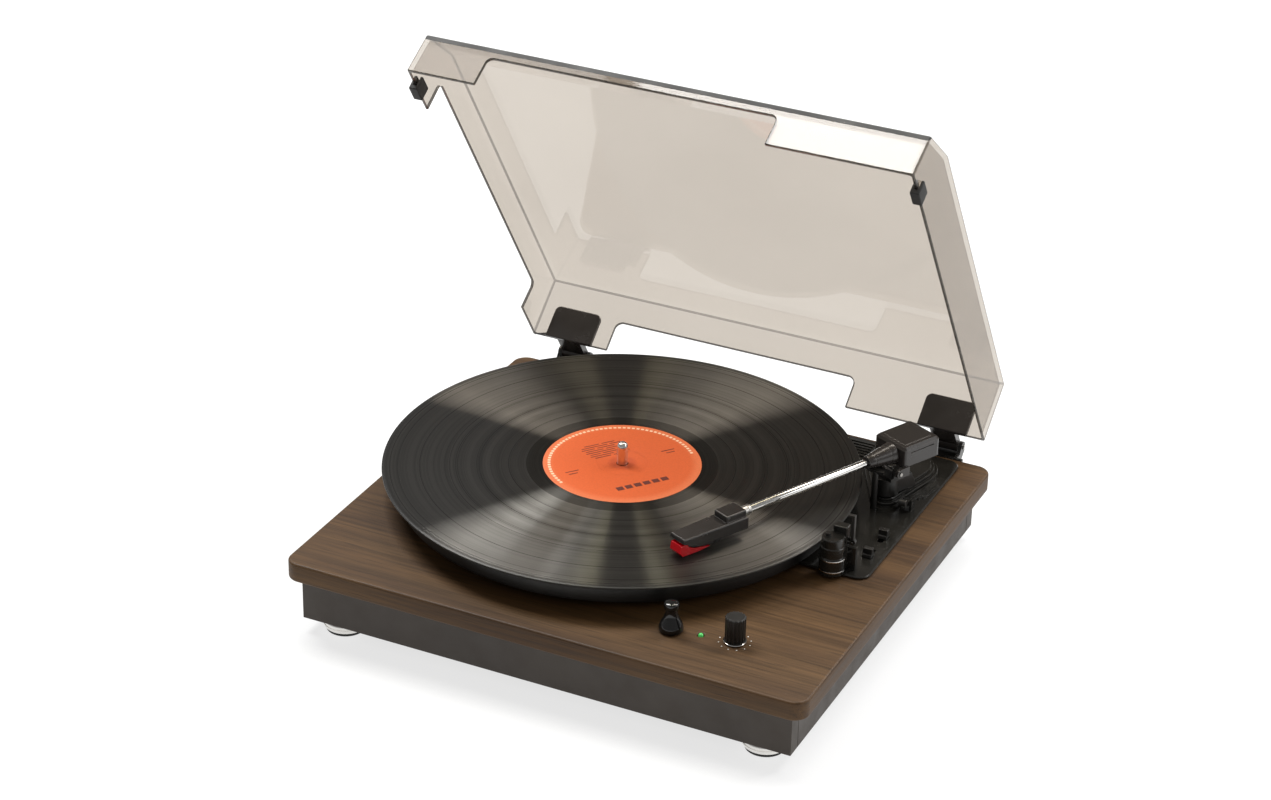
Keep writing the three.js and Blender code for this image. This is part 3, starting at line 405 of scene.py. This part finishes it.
def make_acrylic(name, through, tint, gloss_roughness, solid=0.0):
    """Tinted clear sheet: what is behind it shows through, and it mirrors more at a low angle.

    through holds the two linear tones that light takes on its way, and solid is the share of
    the surface that lets no light through.
    """
    finish = Finish(name, tint, 0.5, Specular_IOR_Level=0.1)
    tree = finish.tree
    haze = finish.noise((6, 6, 6), 2.0)
    passed = ramp(tree, haze, [(place, tone + (1.0,)) for place, tone in zip((0.3, 0.7), through)])
    clear = put(tree, "ShaderNodeBsdfTransparent", {"Color": passed})
    smears = finish.noise((30, 30, 30), 4.0)
    rough = span(tree, smears, 0.3, 0.7, gloss_roughness, gloss_roughness * 1.8)
    gloss = put(tree, "ShaderNodeBsdfGlossy", {"Color": WHITE, "Roughness": rough})
    body = put(
        tree,
        "ShaderNodeMixShader",
        {0: solid, 1: clear.outputs[0], 2: finish.shader.outputs[0]},
    )
    grazing = put(tree, "ShaderNodeLayerWeight", {"Blend": 0.5}).outputs["Facing"]
    mirror = maths(tree, "MULTIPLY", maths(tree, "POWER", grazing, 5.0), 0.45)
    whole = put(
        tree,
        "ShaderNodeMixShader",
        {0: maths(tree, "ADD", mirror, 0.04), 1: body.outputs[0], 2: gloss.outputs[0]},
    )
    tree.links.new(whole.outputs[0], tree.nodes["Material Output"].inputs["Surface"])
    return finish.material


def make_metal(name, tones, rough, stretch, depth_mm, metallic=1.0):
    """Bright or turned metal: fine stretched scratches and slight tarnish."""
    dark, light = (srgb(*tone) for tone in tones)
    finish = Finish(name, dark, rough[0], metallic)
    drift = finish.noise((25, 25, 25), 3.0)
    finish.vary_colour(drift, [(0.35, dark), (0.65, light)])
    scratch = finish.noise(stretch, 3.0)
    finish.vary_roughness(scratch, *rough)
    finish.bump(scratch, depth_mm)
    return finish.material


def moulded(name, tones, rough, grain, depth_mm, rubbed_and_highlighted=None, **sockets):
    """Moulded or painted surface: soft colour drift, fine texture, uneven gloss, rubbed edges with
    a painted highlight.
    """
    dark, light = (srgb(*tone) for tone in tones)
    finish = Finish(name, dark, rough[0], **sockets)
    drift = finish.noise((14, 14, 14), 2.0)
    finish.vary_colour(drift, [(0.3, dark), (0.7, light)])
    fine = finish.noise((grain, grain, grain), 2.0)
    finish.vary_roughness(finish.noise((60, 60, 60), 4.0), *rough)
    finish.bump(fine, depth_mm)
    if rubbed_and_highlighted:
        # Lighter edges: rubbed wear and a painted highlight where the edges catch light.
        finish.rub_and_highlight_edges(srgb(*rubbed_and_highlighted), 0.5, 0.75)
    return finish.material


walnut = make_walnut()
vinyl = make_vinyl()
label_paper = make_label()

# Plastics, paints, rubber and felt: name, two tones, two roughnesses, texture per metre and
# its depth in millimetres, and for some the tone of their rubbed edges and painted edge highlight.
base_paint = moulded(
    "base_paint", ((49, 40, 32), (56, 47, 38)), (0.46, 0.6), 1400, 0.02, (84, 75, 66)
)
plate_gloss = moulded(
    "plate_gloss", ((28, 27, 25), (36, 35, 32)), (0.12, 0.22), 500, 0.012, (104, 102, 97)
)
satin_black = moulded(
    "satin_black", ((24, 23, 22), (34, 33, 31)), (0.26, 0.4), 1300, 0.02, (88, 86, 82)
)
arm_black = moulded(
    "arm_black", ((42, 39, 37), (54, 50, 48)), (0.18, 0.3), 1300, 0.02, (132, 127, 122)
)
knob_gloss = moulded("knob_gloss", ((16, 16, 16), (24, 24, 24)), (0.06, 0.12), 300, 0.006)
rubber_black = moulded("rubber_black", ((22, 22, 22), (34, 33, 32)), (0.62, 0.8), 1600, 0.05)
felt = moulded("felt", ((20, 20, 20), (36, 35, 34)), (0.9, 1.0), 2600, 0.25, Sheen_Weight=0.3)
hardboard = moulded("hardboard", ((44, 40, 36), (60, 54, 48)), (0.6, 0.8), 700, 0.06)
circuit_green = moulded("circuit_green", ((34, 92, 56), (44, 110, 66)), (0.3, 0.45), 400, 0.03)
stylus_red = moulded("stylus_red", ((186, 8, 20), (214, 16, 30)), (0.16, 0.26), 600, 0.01)
socket_white = moulded(
    "socket_white", ((222, 222, 216), (236, 236, 230)), (0.3, 0.4), 900, 0.02
)
white_ink = moulded("white_ink", ((200, 196, 190), (222, 218, 212)), (0.5, 0.6), 2000, 0.01)
brown_ink = moulded("brown_ink", ((88, 28, 14), (112, 38, 20)), (0.5, 0.62), 2000, 0.01)
cream_ink = moulded("cream_ink", ((250, 206, 170), (255, 220, 190)), (0.5, 0.6), 2000, 0.01)

# Metals: name, two tones, two roughnesses, scratches per metre on each axis and their depth.
chrome = make_metal(
    "chrome", ((214, 213, 211), (226, 225, 222)), (0.05, 0.12), (300, 300, 300), 0.002
)
steel = make_metal(
    "steel", ((168, 166, 162), (186, 184, 180)), (0.24, 0.38), (900, 60, 900), 0.01
)
brass = make_metal(
    "brass", ((178, 142, 74), (196, 160, 92)), (0.2, 0.32), (500, 500, 60), 0.01
)
foot_metal = make_metal(
    "foot_metal", ((232, 230, 226), (244, 242, 238)), (0.16, 0.28), (200, 200, 1200), 0.01
)
platter_metal = make_metal(
    "platter_metal", ((30, 29, 28), (42, 40, 38)), (0.3, 0.45), (200, 200, 900), 0.01, 0.5
)

# The cover's sheet, its cut edges, the dark band along its crest and its outer corners. The
# last three are painted shade: dark lines where the clear edges and bends are seen through the
# sheet.
acrylic = make_acrylic(
    "tinted_acrylic", ((0.70, 0.668, 0.63), (0.72, 0.688, 0.65)), srgb(150, 138, 124), 0.03
)
acrylic_edge = make_acrylic(
    "acrylic_edge", ((0.2, 0.19, 0.18), (0.26, 0.25, 0.24)), srgb(52, 49, 45), 0.06, 0.5
)
acrylic_corner = make_acrylic(
    "acrylic_corner", ((0.05, 0.05, 0.04), (0.08, 0.07, 0.06)), srgb(18, 17, 16), 0.5, 0.8
)
acrylic_rim = make_acrylic(
    "acrylic_rim", ((0.36, 0.345, 0.33), (0.42, 0.40, 0.38)), srgb(60, 56, 52), 0.2
)

lamp = Finish("lamp_green", srgb(70, 190, 90), 0.2)
lamp.set("Emission Color", srgb(110, 230, 120))
lamp.set("Emission Strength", 0.2)
lamp.vary_roughness(lamp.noise((900, 900, 900)), 0.15, 0.3)


# ---- shape building --------------------------------------------------------------------------

def new_object(name, mesh, material, matrix=None):
    obj = bpy.data.objects.new(name, mesh)
    bpy.context.scene.collection.objects.link(obj)
    if matrix is not None:
        mesh.transform(matrix)
    mesh.materials.clear()
    mesh.materials.append(material)
    return obj


def shade(mesh, degrees):
    """Smooth shading that breaks where faces meet at more than this angle."""
    for polygon in mesh.polygons:
        polygon.use_smooth = True
    mesh.set_sharp_from_angle(angle=math.radians(degrees))


def place_piece(obj, body, slot, *nodes):
    """Puts a piece on its body and hides the CAD nodes it stands for; its slot is not used."""
    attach(obj, body)
    if nodes:
        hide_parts(*nodes)


def lathe(name, profile, material, matrix, segments, degrees):
    """A turned shape. Its profile is (radius, height) pairs, closed on the axis or on itself."""
    mesh = bpy.data.meshes.new(name)
    shape = bmesh.new()
    closed = profile[0] == profile[-1] and profile[0][0] > 0
    points = profile[:-1] if closed else profile
    rows = []
    for radius, height in points:
        turns = [2 * math.pi * step / segments for step in range(segments if radius else 1)]
        rows.append([
            shape.verts.new((radius * math.cos(turn), radius * math.sin(turn), height))
            for turn in turns
        ])
    pairs = list(zip(rows, rows[1:]))
    if closed:
        pairs.append((rows[-1], rows[0]))
    for lower, upper in pairs:
        for step in range(segments):
            after = (step + 1) % segments
            corners = []
            for row, index in ((lower, step), (lower, after), (upper, after), (upper, step)):
                vert = row[index] if len(row) > 1 else row[0]
                if vert not in corners:
                    corners.append(vert)
            if len(corners) > 2:
                shape.faces.new(corners)
    bmesh.ops.recalc_face_normals(shape, faces=shape.faces)
    shape.to_mesh(mesh)
    shape.free()
    obj = new_object(name, mesh, material, matrix)
    shade(mesh, degrees)
    return obj


def soften(obj, width_mm, segments):
    """Rounds the hard edges of a piece and keeps its flat faces flat."""
    bevel = obj.modifiers.new("edges", "BEVEL")
    bevel.width = width_mm * MM
    bevel.segments = segments
    bevel.limit_method = "ANGLE"
    bevel.angle_limit = math.radians(32)
    bevel.use_clamp_overlap = True
    obj.modifiers.new("normals", "WEIGHTED_NORMAL").keep_sharp = False


def dress(node, material, width_mm, segments=2):
    """Gives a CAD node its material, and modifiers that clean its facets and round its edges."""
    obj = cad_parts[node]
    for slot in obj.material_slots:
        slot.material = material
    if not obj.material_slots:
        obj.data.materials.append(material)
    for polygon in obj.data.polygons:
        polygon.use_smooth = True
    weld = obj.modifiers.new("weld", "WELD")
    weld.merge_threshold = WELD_DISTANCE
    flat = obj.modifiers.new("flat", "DECIMATE")
    flat.decimate_type = "DISSOLVE"
    flat.angle_limit = FACET_ANGLE
    soften(obj, width_mm, segments)


def rounded_outline(x0, y0, x1, y1, radius, steps=14):
    """A rectangle with rounded corners, each an arc of this many steps."""
    points = []
    for cx, cy, start in (
        (x1 - radius, y0 + radius, -90),
        (x1 - radius, y1 - radius, 0),
        (x0 + radius, y1 - radius, 90),
        (x0 + radius, y0 + radius, 180),
    ):
        for step in range(steps + 1):
            angle = math.radians(start + 90 * step / steps)
            points.append((cx + radius * math.cos(angle), cy + radius * math.sin(angle)))
    return points


def circle_hole(x, y, radius, steps=40):
    """A round hole in a slab: its points run the other way round from an outline's."""
    turns = [2 * math.pi * step / steps for step in range(steps)]
    return [(x + radius * math.cos(turn), y + radius * math.sin(turn)) for turn in turns][::-1]


def flat_piece(name, outlines, z0, z1, ease, material, matrix):
    """A slab from its outline and holes, with rounded edges."""
    curve = bpy.data.curves.new(name + "_outline", "CURVE")
    curve.dimensions = "2D"
    curve.fill_mode = "BOTH"
    curve.extrude = (z1 - z0) / 2 - ease
    curve.bevel_depth = ease
    curve.bevel_resolution = 4
    curve.offset = -ease
    for outline in outlines:
        spline = curve.splines.new("POLY")
        spline.points.add(len(outline) - 1)
        for point, (x, y) in zip(spline.points, outline):
            point.co = (x, y, 0.0, 1.0)
        spline.use_cyclic_u = True
    holder = bpy.data.objects.new(name + "_outline", curve)
    bpy.context.scene.collection.objects.link(holder)
    bpy.context.view_layer.update()
    graph = bpy.context.evaluated_depsgraph_get()
    mesh = bpy.data.meshes.new_from_object(holder.evaluated_get(graph))
    mesh.name = name
    bpy.data.objects.remove(holder)
    mesh.transform(Matrix.Translation((0, 0, (z0 + z1) / 2)))
    obj = new_object(name, mesh, material, matrix)
    shade(mesh, 50)
    return obj


def arc_strip(shape, inner, outer, start, end, height, steps):
    """A flat curved bar on the label, between two radii and two angles in degrees."""
    last = None
    for step in range(steps + 1):
        angle = math.radians(start + (end - start) * step / steps)
        pair = [
            shape.verts.new((radius * math.cos(angle), radius * math.sin(angle), height))
            for radius in (inner, outer)
        ]
        if last:
            shape.faces.new((last[0], last[1], pair[1], pair[0]))
        last = pair


def print_marks(name, shape, material, matrix, body, slot):
    """Flat printed marks, given a thin closed layer of ink and placed on a body."""
    flat = list(shape.faces)
    made = bmesh.ops.extrude_face_region(shape, geom=flat, use_keep_orig=True)
    lower = [item for item in made["geom"] if isinstance(item, bmesh.types.BMVert)]
    bmesh.ops.translate(shape, verts=lower, vec=(0.0, 0.0, -INK_DEPTH))
    bmesh.ops.recalc_face_normals(shape, faces=shape.faces)
    mesh = bpy.data.meshes.new(name)
    shape.to_mesh(mesh)
    shape.free()
    place_piece(new_object(name, mesh, material, matrix), body, slot)


# ---- plinth ----------------------------------------------------------------------------------

# The board, with its opening for the mechanism plate and its holes for the two knobs and the lamp.
ON_DECK = stand_at(0, 0)
board_outlines = [
    rounded_outline(-171.7, -155.4, 171.7, 155.4, 9.9),
    rounded_outline(-66, -10, 148, 146, 6, 6)[::-1],
    circle_hole(*MODE_KNOB, 3.8),
    circle_hole(*VOLUME_KNOB, 3.8),
    circle_hole(*LAMP, 1.8),
]
place_piece(
    flat_piece("board_veneered", board_outlines, BOARD_BOTTOM, BOARD_TOP, 1.5, walnut, ON_DECK),
    "plinth", "walnut", "top_board",
)
for panel in ("front", "rear", "left", "right"):
    dress("base_%s_panel" % panel, base_paint, 0.35)
dress("floor_panel", hardboard, 0.2)

foot = [
    (0, -6.3), (11.8, -6.3), (12.6, -6.1), (13.4, -5.5), (13.9, -4.6), (14, -3.9), (14, -3.2),
    (13.6, -3.0), (13.6, -2.6), (14, -2.4), (14, -1.1), (13.7, -0.6), (13.1, -0.3), (0, -0.3),
]
pad = [(0, -8.2), (11.6, -8.2), (12.2, -7.9), (12.4, -7.4), (12.4, -6.6), (0, -6.6)]
for place in ("front_left", "front_right", "rear_left", "rear_right"):
    foot_low, foot_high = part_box("foot_" + place)
    middle = ((foot_low + foot_high) / 2 - DECK) / MM
    under_foot = stand_at(middle.x, middle.y)
    place_piece(
        lathe("foot_ring_" + place, foot, foot_metal, under_foot, 96, 30),
        "plinth", "bright_ring", "foot_" + place,
    )
    place_piece(
        lathe("rubber_pad_" + place, pad, rubber_black, under_foot, 72, 30),
        "plinth", "rubber", "foot_pad_" + place,
    )

dress("jack_plate", satin_black, 0.25)
dress("socket_left", socket_white, 0.2)
dress("socket_right", stylus_red, 0.2)
dress("supply_inlet", satin_black, 0.2)
dress("circuit_board", circuit_green, 0.15)
dress("mode_switch", steel, 0.2)
dress("volume_control", steel, 0.2)
dress("motor", steel, 0.4)
dress("drive_belt", rubber_black, 0.1)

# ---- controls on the board -------------------------------------------------------------------

bell = [
    (0, -18), (2, -18), (2, 0.3), (6.4, 0.3), (7.1, 0.6), (7.45, 1.3), (7.45, 2.6), (7.1, 4.2),
    (6.2, 6.2), (5.1, 8.2), (4.2, 10.2), (3.75, 12.2), (3.65, 14.2), (3.75, 14.9), (4.3, 15.3),
    (4.5, 15.8), (4.5, 18.2), (4.3, 18.8), (3.8, 19.2), (0, 19.35),
]
place_piece(
    lathe("bell_knob", bell, knob_gloss, stand_at(*MODE_KNOB, BOARD_TOP), 96, 50),
    "mode", "black_gloss", "mode_knob",
)
dress("volume_knob", satin_black, 0.25)
collar = [(6.62, 0.5), (6.95, 0.6), (7.05, 0.9), (6.95, 1.2), (6.62, 1.3), (6.62, 0.5)]
place_piece(
    lathe("volume_ring", collar, chrome, stand_at(*VOLUME_KNOB, BOARD_TOP), 72, 30),
    "volume", "chrome",
)
# Eleven dots round the ribbed knob, open towards the hinges.
DOT_CIRCLE = 9.6
dots = bmesh.new()
for degrees in range(-240, 61, 30):
    turn = math.radians(degrees)
    across = Vector((math.cos(turn), math.sin(turn), 0.0)) * DOT_CIRCLE
    centre = Vector((*VOLUME_KNOB, BOARD_TOP + INK_TOP)) + across
    bmesh.ops.create_circle(
        dots, cap_ends=True, segments=16, radius=0.42, matrix=Matrix.Translation(centre)
    )
print_marks("volume_dots", dots, white_ink, ON_DECK, "plinth", "white_plastic")
lens = [(0, 24.5), (1.5, 24.5), (1.5, 41.0), (1.35, 41.4), (1.0, 41.75), (0.5, 41.95), (0, 42)]
place_piece(
    lathe("lamp_lens", lens, lamp.material, stand_at(*LAMP), 40, 40),
    "plinth", "green_lens", "power_lamp",
)

# ---- mechanism plate and turning parts -------------------------------------------------------

dress("mechanism_plate", plate_gloss, 0.45, 3)
dress("speed_slider", satin_black, 0.3)
dress("auto_stop_slider", satin_black, 0.3)

AT_SPINDLE = stand_at(*SPINDLE)
post = [
    (0, 30), (3.5, 30), (3.5, 73.2), (3.42, 74.4), (3.1, 75.5), (2.5, 76.3), (1.5, 76.85),
    (0, 77),
]
place_piece(
    lathe("spindle_post", post, chrome, AT_SPINDLE, 64, 50), "plinth", "chrome", "spindle"
)
dish = [
    (HOLE, 46.3), (10, 46.3), (10, PLATTER_CEILING), (77, PLATTER_CEILING), (77, 46.4),
    (80, 46.4), (80, PLATTER_CEILING), (138.6, PLATTER_CEILING), (139, 46.4), (141.6, 46.4),
    (142, 46.9), (142, 56.9), (141.6, 57.7), (140.8, 58.2), (HOLE, 58.2), (HOLE, 46.3),
]
place_piece(
    lathe("platter_dish", dish, platter_metal, AT_SPINDLE, 192, 30),
    "platter", "platter_metal", "platter",
)
mat = [
    (HOLE, 58.5), (139.6, 58.5), (140, 58.8), (140, 59.6), (139.5, 60), (HOLE, 60),
    (HOLE, 58.5),
]
place_piece(lathe("felt_mat", mat, felt, AT_SPINDLE, 160, 30), "platter", "felt", "slip_mat")
disc = [
    (HOLE, 60.9), (RECESS_RADIUS, 60.9), (RECESS_RADIUS, 60.35), (149.6, 60.35), (150.5, 60.5),
    (150.95, 61.0), (151, 61.3), (150.8, 61.75), (150.2, 62.05), (149.2, RECORD_TOP),
    (148.2, 61.95), (147.2, 61.8), (61, 61.8), (59.5, 61.95), (54, 62.0), (51.4, RECORD_TOP),
    (50.5, 62.05), (RECESS_RADIUS, 61.6), (HOLE, 61.5), (HOLE, 60.9),
]
place_piece(
    lathe("vinyl_disc", disc, vinyl, AT_SPINDLE, 256, 30), "platter", "vinyl", "record_disc"
)
paper = [
    (HOLE, 61.8), (49.9, 61.8), (LABEL_RADIUS, 61.9), (LABEL_RADIUS, 62.0), (49.8, 62.08),
    (49.2, RECORD_TOP), (4.1, RECORD_TOP), (HOLE, 62.05), (HOLE, 61.8),
]
place_piece(
    lathe("label_front", paper, label_paper, AT_SPINDLE, 160, 30),
    "platter", "label", "record_label_upper",
)
dress("record_label_lower", label_paper, 0.05, 1)

# Plain printed bars: they stand for a label's text and say nothing. Each is the middle of the
# bar, its length and its height, before the label is turned.
PRINT_HEIGHT = RECORD_TOP + INK_TOP
LABEL_TURN = Matrix.Rotation(math.radians(52), 3, "Z")
TITLE_Y = -29.0
FIRST_ROW_Y = 12.0
ROW_STEP = 2.3
ROW_HEIGHT = 0.7
bars = [(x, TITLE_Y, 4.6, 4.2) for x in (-15.6, -9.6, -3.4, 2.8, 9.0, 15.2)]
for side in (-1, 1):
    bars += [(33.5 * side, 3.0, 9.0, 0.8), (34.0 * side, 0.0, 6.0, 0.8)]
# A row is two bars with a gap: where it starts, its first bar, its gap and its second bar.
rows = (
    (-13, 11, 2, 8), (-15, 16, 2, 9), (-14, 7, 1.5, 14), (-16, 20, 2, 6), (-15, 12, 2, 13),
    (-17, 9, 2, 12), (-16, 18, 1.5, 8), (-13, 10, 2, 9),
)
for index, (left, first, gap, second) in enumerate(rows):
    y = FIRST_ROW_Y + index * ROW_STEP
    bars.append((left + first / 2, y, first, ROW_HEIGHT))
    bars.append((left + first + gap + second / 2, y, second, ROW_HEIGHT))
ink = bmesh.new()
for x, y, length, height in bars:
    corners = [
        Vector((x + sx * length / 2, y + sy * height / 2, PRINT_HEIGHT))
        for sx, sy in ((-1, -1), (1, -1), (1, 1), (-1, 1))
    ]
    ink.faces.new([ink.verts.new(LABEL_TURN @ corner) for corner in corners])
print_marks("label_bars", ink, brown_ink, AT_SPINDLE, "platter", "label")

# A broken ring near the label's edge, over part of the way round.
DASH_START = 43
DASH_STEP = 3.7
DASH_LENGTH = 2.3
dashes = bmesh.new()
for index in range(54):
    start = DASH_START + index * DASH_STEP
    arc_strip(dashes, 45.2, 47.0, start, start + DASH_LENGTH, PRINT_HEIGHT, 2)
print_marks("label_dashes", dashes, cream_ink, AT_SPINDLE, "platter", "label")

dress("motor_pulley", brass, 0.15)

# ---- tonearm ---------------------------------------------------------------------------------

dress("arm_column", satin_black, 0.4)
dress("arm_yoke", satin_black, 0.35)
dress("arm_axle", steel, 0.1)
dress("counterweight_housing", arm_black, 0.5, 3)
dress("lift_rest", satin_black, 0.3)
dress("cue_lever", satin_black, 0.3)
dress("arm_rest", plate_gloss, 0.35)
dress("arm_catch", satin_black, 0.3)
for name, height in (("low", 45.4), ("high", 52.9)):
    ring = [
        (7.9, height), (8.12, height), (8.2, height + 0.25), (8.2, height + 0.65),
        (8.12, height + 0.9), (7.9, height + 0.9), (7.9, height),
    ]
    place_piece(
        lathe("rest_ring_" + name, ring, chrome, stand_at(*REST_STAND), 72, 30),
        "plinth", "chrome",
    )

tube = [(0, 4.7), (2.4, 4.7), (2.5, 4.9), (2.5, 126.7), (2.3, 127), (0, 127)]
place_piece(lathe("arm_pipe", tube, chrome, AT_TUBE, 64, 40), "arm", "chrome", "arm_tube")
cone = [
    (2.8, -3.0), (6.9, -3.0), (7.2, -2.7), (7.2, -2.2), (6.8, 0.2), (6.6, 1.2), (6.3, 1.35),
    (6.25, 1.9), (6.4, 2.1), (4.8, 12.6), (4.5, 12.8), (4.45, 13.4), (4.55, 13.6), (4.1, 17.3),
    (3.8, 17.9), (2.8, 17.9), (2.8, -3.0),
]
place_piece(
    lathe("arm_cone", cone, arm_black, AT_TUBE, 72, 30), "arm", "black_gloss", "arm_sleeve"
)
band = [
    (2.8, 114.1), (3.1, 114.1), (3.3, 114.5), (3.3, 116.2), (3.05, 116.5), (3.05, 117.0),
    (3.3, 117.3), (3.3, 120.9), (3.1, 121.2), (2.8, 121.2), (2.8, 114.1),
]
place_piece(
    lathe("arm_band", band, steel, AT_TUBE, 48, 30), "arm", "steel", "headshell_collar"
)
dress("headshell", arm_black, 0.45, 3)
dress("cartridge", satin_black, 0.3)
dress("stylus", stylus_red, 0.3)

# ---- cover and hinges ------------------------------------------------------------------------

for side in ("left", "right"):
    dress("hinge_bracket_" + side, satin_black, 0.35)
    dress("hinge_pin_" + side, steel, 0.2)
    dress("hinge_leaf_" + side, arm_black, 0.5, 3)
    dress("bumper_" + side, rubber_black, 0.3)


# The order of the cover's materials, which is also the number of each on its faces.
SHEET, CUT_EDGE, DARK_BAND, RIM = range(4)
NARROW_FACE = 2.6
CORNER_WIDTH = 1.1
DARK_BAND_DEPTH = 1.8
CUT_EDGE_WIDTH = 0.55


def mark_cut_faces(work):
    """A cut face is a narrow one: its area is small for the length round it."""
    for face in work.faces:
        width = 2 * face.calc_area() / max(face.calc_perimeter(), 1e-9)
        # Cut faces take the darker edge material: painted shade where the edge is seen through the
        # sheet.
        face.material_index = CUT_EDGE if width < NARROW_FACE * MM else SHEET
        face.smooth = False


def round_corners(work):
    """Rounds the corners between wide faces: clear inside, and outside a little darker, painted
    shade along the bend.
    """
    corners = [
        edge for edge in work.edges
        if len(edge.link_faces) == 2
        and all(face.material_index == SHEET for face in edge.link_faces)
        and edge.calc_face_angle() > math.radians(40)
    ]
    centre = sum((vert.co for vert in work.verts), Vector()) / len(work.verts)
    rounded = bmesh.ops.bevel(
        work,
        geom=corners,
        offset=CORNER_WIDTH * MM,
        segments=2,
        profile=0.5,
        affect="EDGES",
        material=SHEET,
    )
    # Outer faces of a bend take the darker rim material, painted shade.
    for face in rounded["faces"]:
        if face.normal.dot(face.calc_center_median() - centre) > 0:
            face.material_index = RIM


def darken_crest(work, crest):
    """A dark band along the top of the open cover, cut off where it ends: painted shade where the
    top edge is seen through the sheet.
    """
    shoulder = crest - DARK_BAND_DEPTH * MM
    bmesh.ops.bisect_plane(
        work,
        geom=work.verts[:] + work.edges[:] + work.faces[:],
        dist=1e-7,
        plane_co=(0, 0, shoulder),
        plane_no=(0, 0, 1),
    )
    # Painted shade: the top faces take the near-black band material.
    for face in work.faces:
        if min(vert.co.z for vert in face.verts) > shoulder - 1e-6:
            face.material_index = DARK_BAND


def make_cover():
    """The clear cover, from the mesh of its CAD node."""
    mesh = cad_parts["dust_cover"].data.copy()
    obj = new_object("clear_cover", mesh, acrylic)
    for material in (acrylic_edge, acrylic_corner, acrylic_rim):
        mesh.materials.append(material)
    work = bmesh.new()
    work.from_mesh(mesh)
    bmesh.ops.remove_doubles(work, verts=work.verts, dist=WELD_DISTANCE)
    bmesh.ops.dissolve_limit(work, angle_limit=FACET_ANGLE, verts=work.verts, edges=work.edges)
    crest = max(vert.co.z for vert in work.verts)
    mark_cut_faces(work)
    round_corners(work)
    darken_crest(work, crest)
    work.to_mesh(mesh)
    work.free()
    bevel = obj.modifiers.new("edges", "BEVEL")
    bevel.width = CUT_EDGE_WIDTH * MM
    bevel.segments = 1
    bevel.limit_method = "ANGLE"
    bevel.angle_limit = math.radians(50)
    # The bevelled edges take the darker edge material too, painted shade along them.
    bevel.material = CUT_EDGE
    bevel.use_clamp_overlap = False
    return obj


place_piece(make_cover(), "cover", "tinted_clear", "dust_cover")

# ---- floor, light and camera -----------------------------------------------------------------

FLOOR_HALF = 6.0
floor_mesh = bpy.data.meshes.new("floor")
ground = bmesh.new()
bmesh.ops.create_grid(ground, x_segments=1, y_segments=1, size=FLOOR_HALF)
ground.to_mesh(floor_mesh)
ground.free()
pale = Finish("pale_floor", grey(0.28), 0.7, Specular_IOR_Level=0.1)
pale.vary_colour(pale.noise((3, 3, 3), 2.0), [(0.3, grey(0.27)), (0.7, grey(0.29))])
pale.set("Emission Color", WHITE)
pale.set("Emission Strength", 0.72)
floor = new_object("floor", floor_mesh, pale.material)

# The studio behind the floor is plain white, and lights the player less than it shows.
scene = bpy.context.scene
scene.view_settings.view_transform = "Standard"
world = bpy.data.worlds.new("studio")
scene.world = world
world.use_nodes = True
background = world.node_tree.nodes["Background"]
background.inputs["Color"].default_value = (1.0, 0.99, 0.98, 1.0)
seen = put(world.node_tree, "ShaderNodeLightPath").outputs["Is Camera Ray"]
strength = span(world.node_tree, seen, 0.0, 1.0, 0.3, 1.0)
world.node_tree.links.new(strength, background.inputs["Strength"])

AZIMUTH, ELEVATION, ROLL = (math.radians(degrees) for degrees in (25.14, 27.99, 1.31))
TO_CAMERA = Vector((math.sin(AZIMUTH), -math.cos(AZIMUTH), 0.0))
TO_RIGHT = Vector((math.cos(AZIMUTH), math.sin(AZIMUTH), 0.0))
MIDDLE = deck(*SPINDLE, RECORD_TOP)


def softbox(name, side, near, height, width, depth, power, colour=(1.0, 1.0, 1.0)):
    """A light panel aimed at the record, in metres and watts.

    It stands to the camera's right by side, towards it by near, and over the record by height.
    """
    light = bpy.data.lights.new(name, "AREA")
    light.shape = "RECTANGLE"
    light.size = width
    light.size_y = depth
    light.energy = power
    light.color = colour
    place = MIDDLE + TO_RIGHT * side + TO_CAMERA * near + Vector((0, 0, height))
    obj = bpy.data.objects.new(name, light)
    behind = (place - MIDDLE).normalized()
    across = (TO_RIGHT - behind * behind.dot(TO_RIGHT)).normalized()
    axes = Matrix((across, behind.cross(across), behind)).transposed().to_4x4()
    obj.matrix_world = Matrix.Translation(place) @ axes
    scene.collection.objects.link(obj)


# The banks and strips draw the record's light fans, the crests light the cover's upper edge,
# and the last panel lights the player's right side.
FAN_TINT = (1.0, 0.98, 0.76)
softbox("left_bank", -0.87, -1.0, 1.9, 1.15, 0.6, 48)
softbox("right_bank", 1.25, -1.0, 1.9, 1.8, 0.6, 62)
softbox("left_strip", -0.24, -0.6, 2.3, 0.14, 1.2, 5, FAN_TINT)
softbox("right_strip", 0.3, -0.6, 2.3, 0.14, 1.2, 5, FAN_TINT)
softbox("crest", -0.44, -0.39, 2.13, 0.34, 0.34, 5.0)
softbox("crest_left", -0.86, -0.58, 2.13, 0.36, 0.25, 1.1)
softbox("right_side", 2.4, 0.4, 1.1, 1.3, 1.4, 12)

# The camera looks along its own -Z at a point on the deck frame, from this many metres away.
AIM = deck(-105.55, 202.14, 0.0)
CAMERA_DISTANCE = 2.18584
back = TO_CAMERA * math.cos(ELEVATION) + Vector((0, 0, math.sin(ELEVATION)))
rise = back.cross(TO_RIGHT)
right = TO_RIGHT * math.cos(ROLL) + rise * math.sin(ROLL)
above = back.cross(right)
camera_data = bpy.data.cameras.new("camera")
camera_data.sensor_width = 36.0
camera_data.lens = 89.128466
camera_data.clip_end = 60.0
camera = bpy.data.objects.new("camera", camera_data)
turned = Matrix((right, above, back)).transposed().to_4x4()
camera.matrix_world = Matrix.Translation(AIM + back * CAMERA_DISTANCE) @ turned
scene.collection.objects.link(camera)
scene.camera = camera
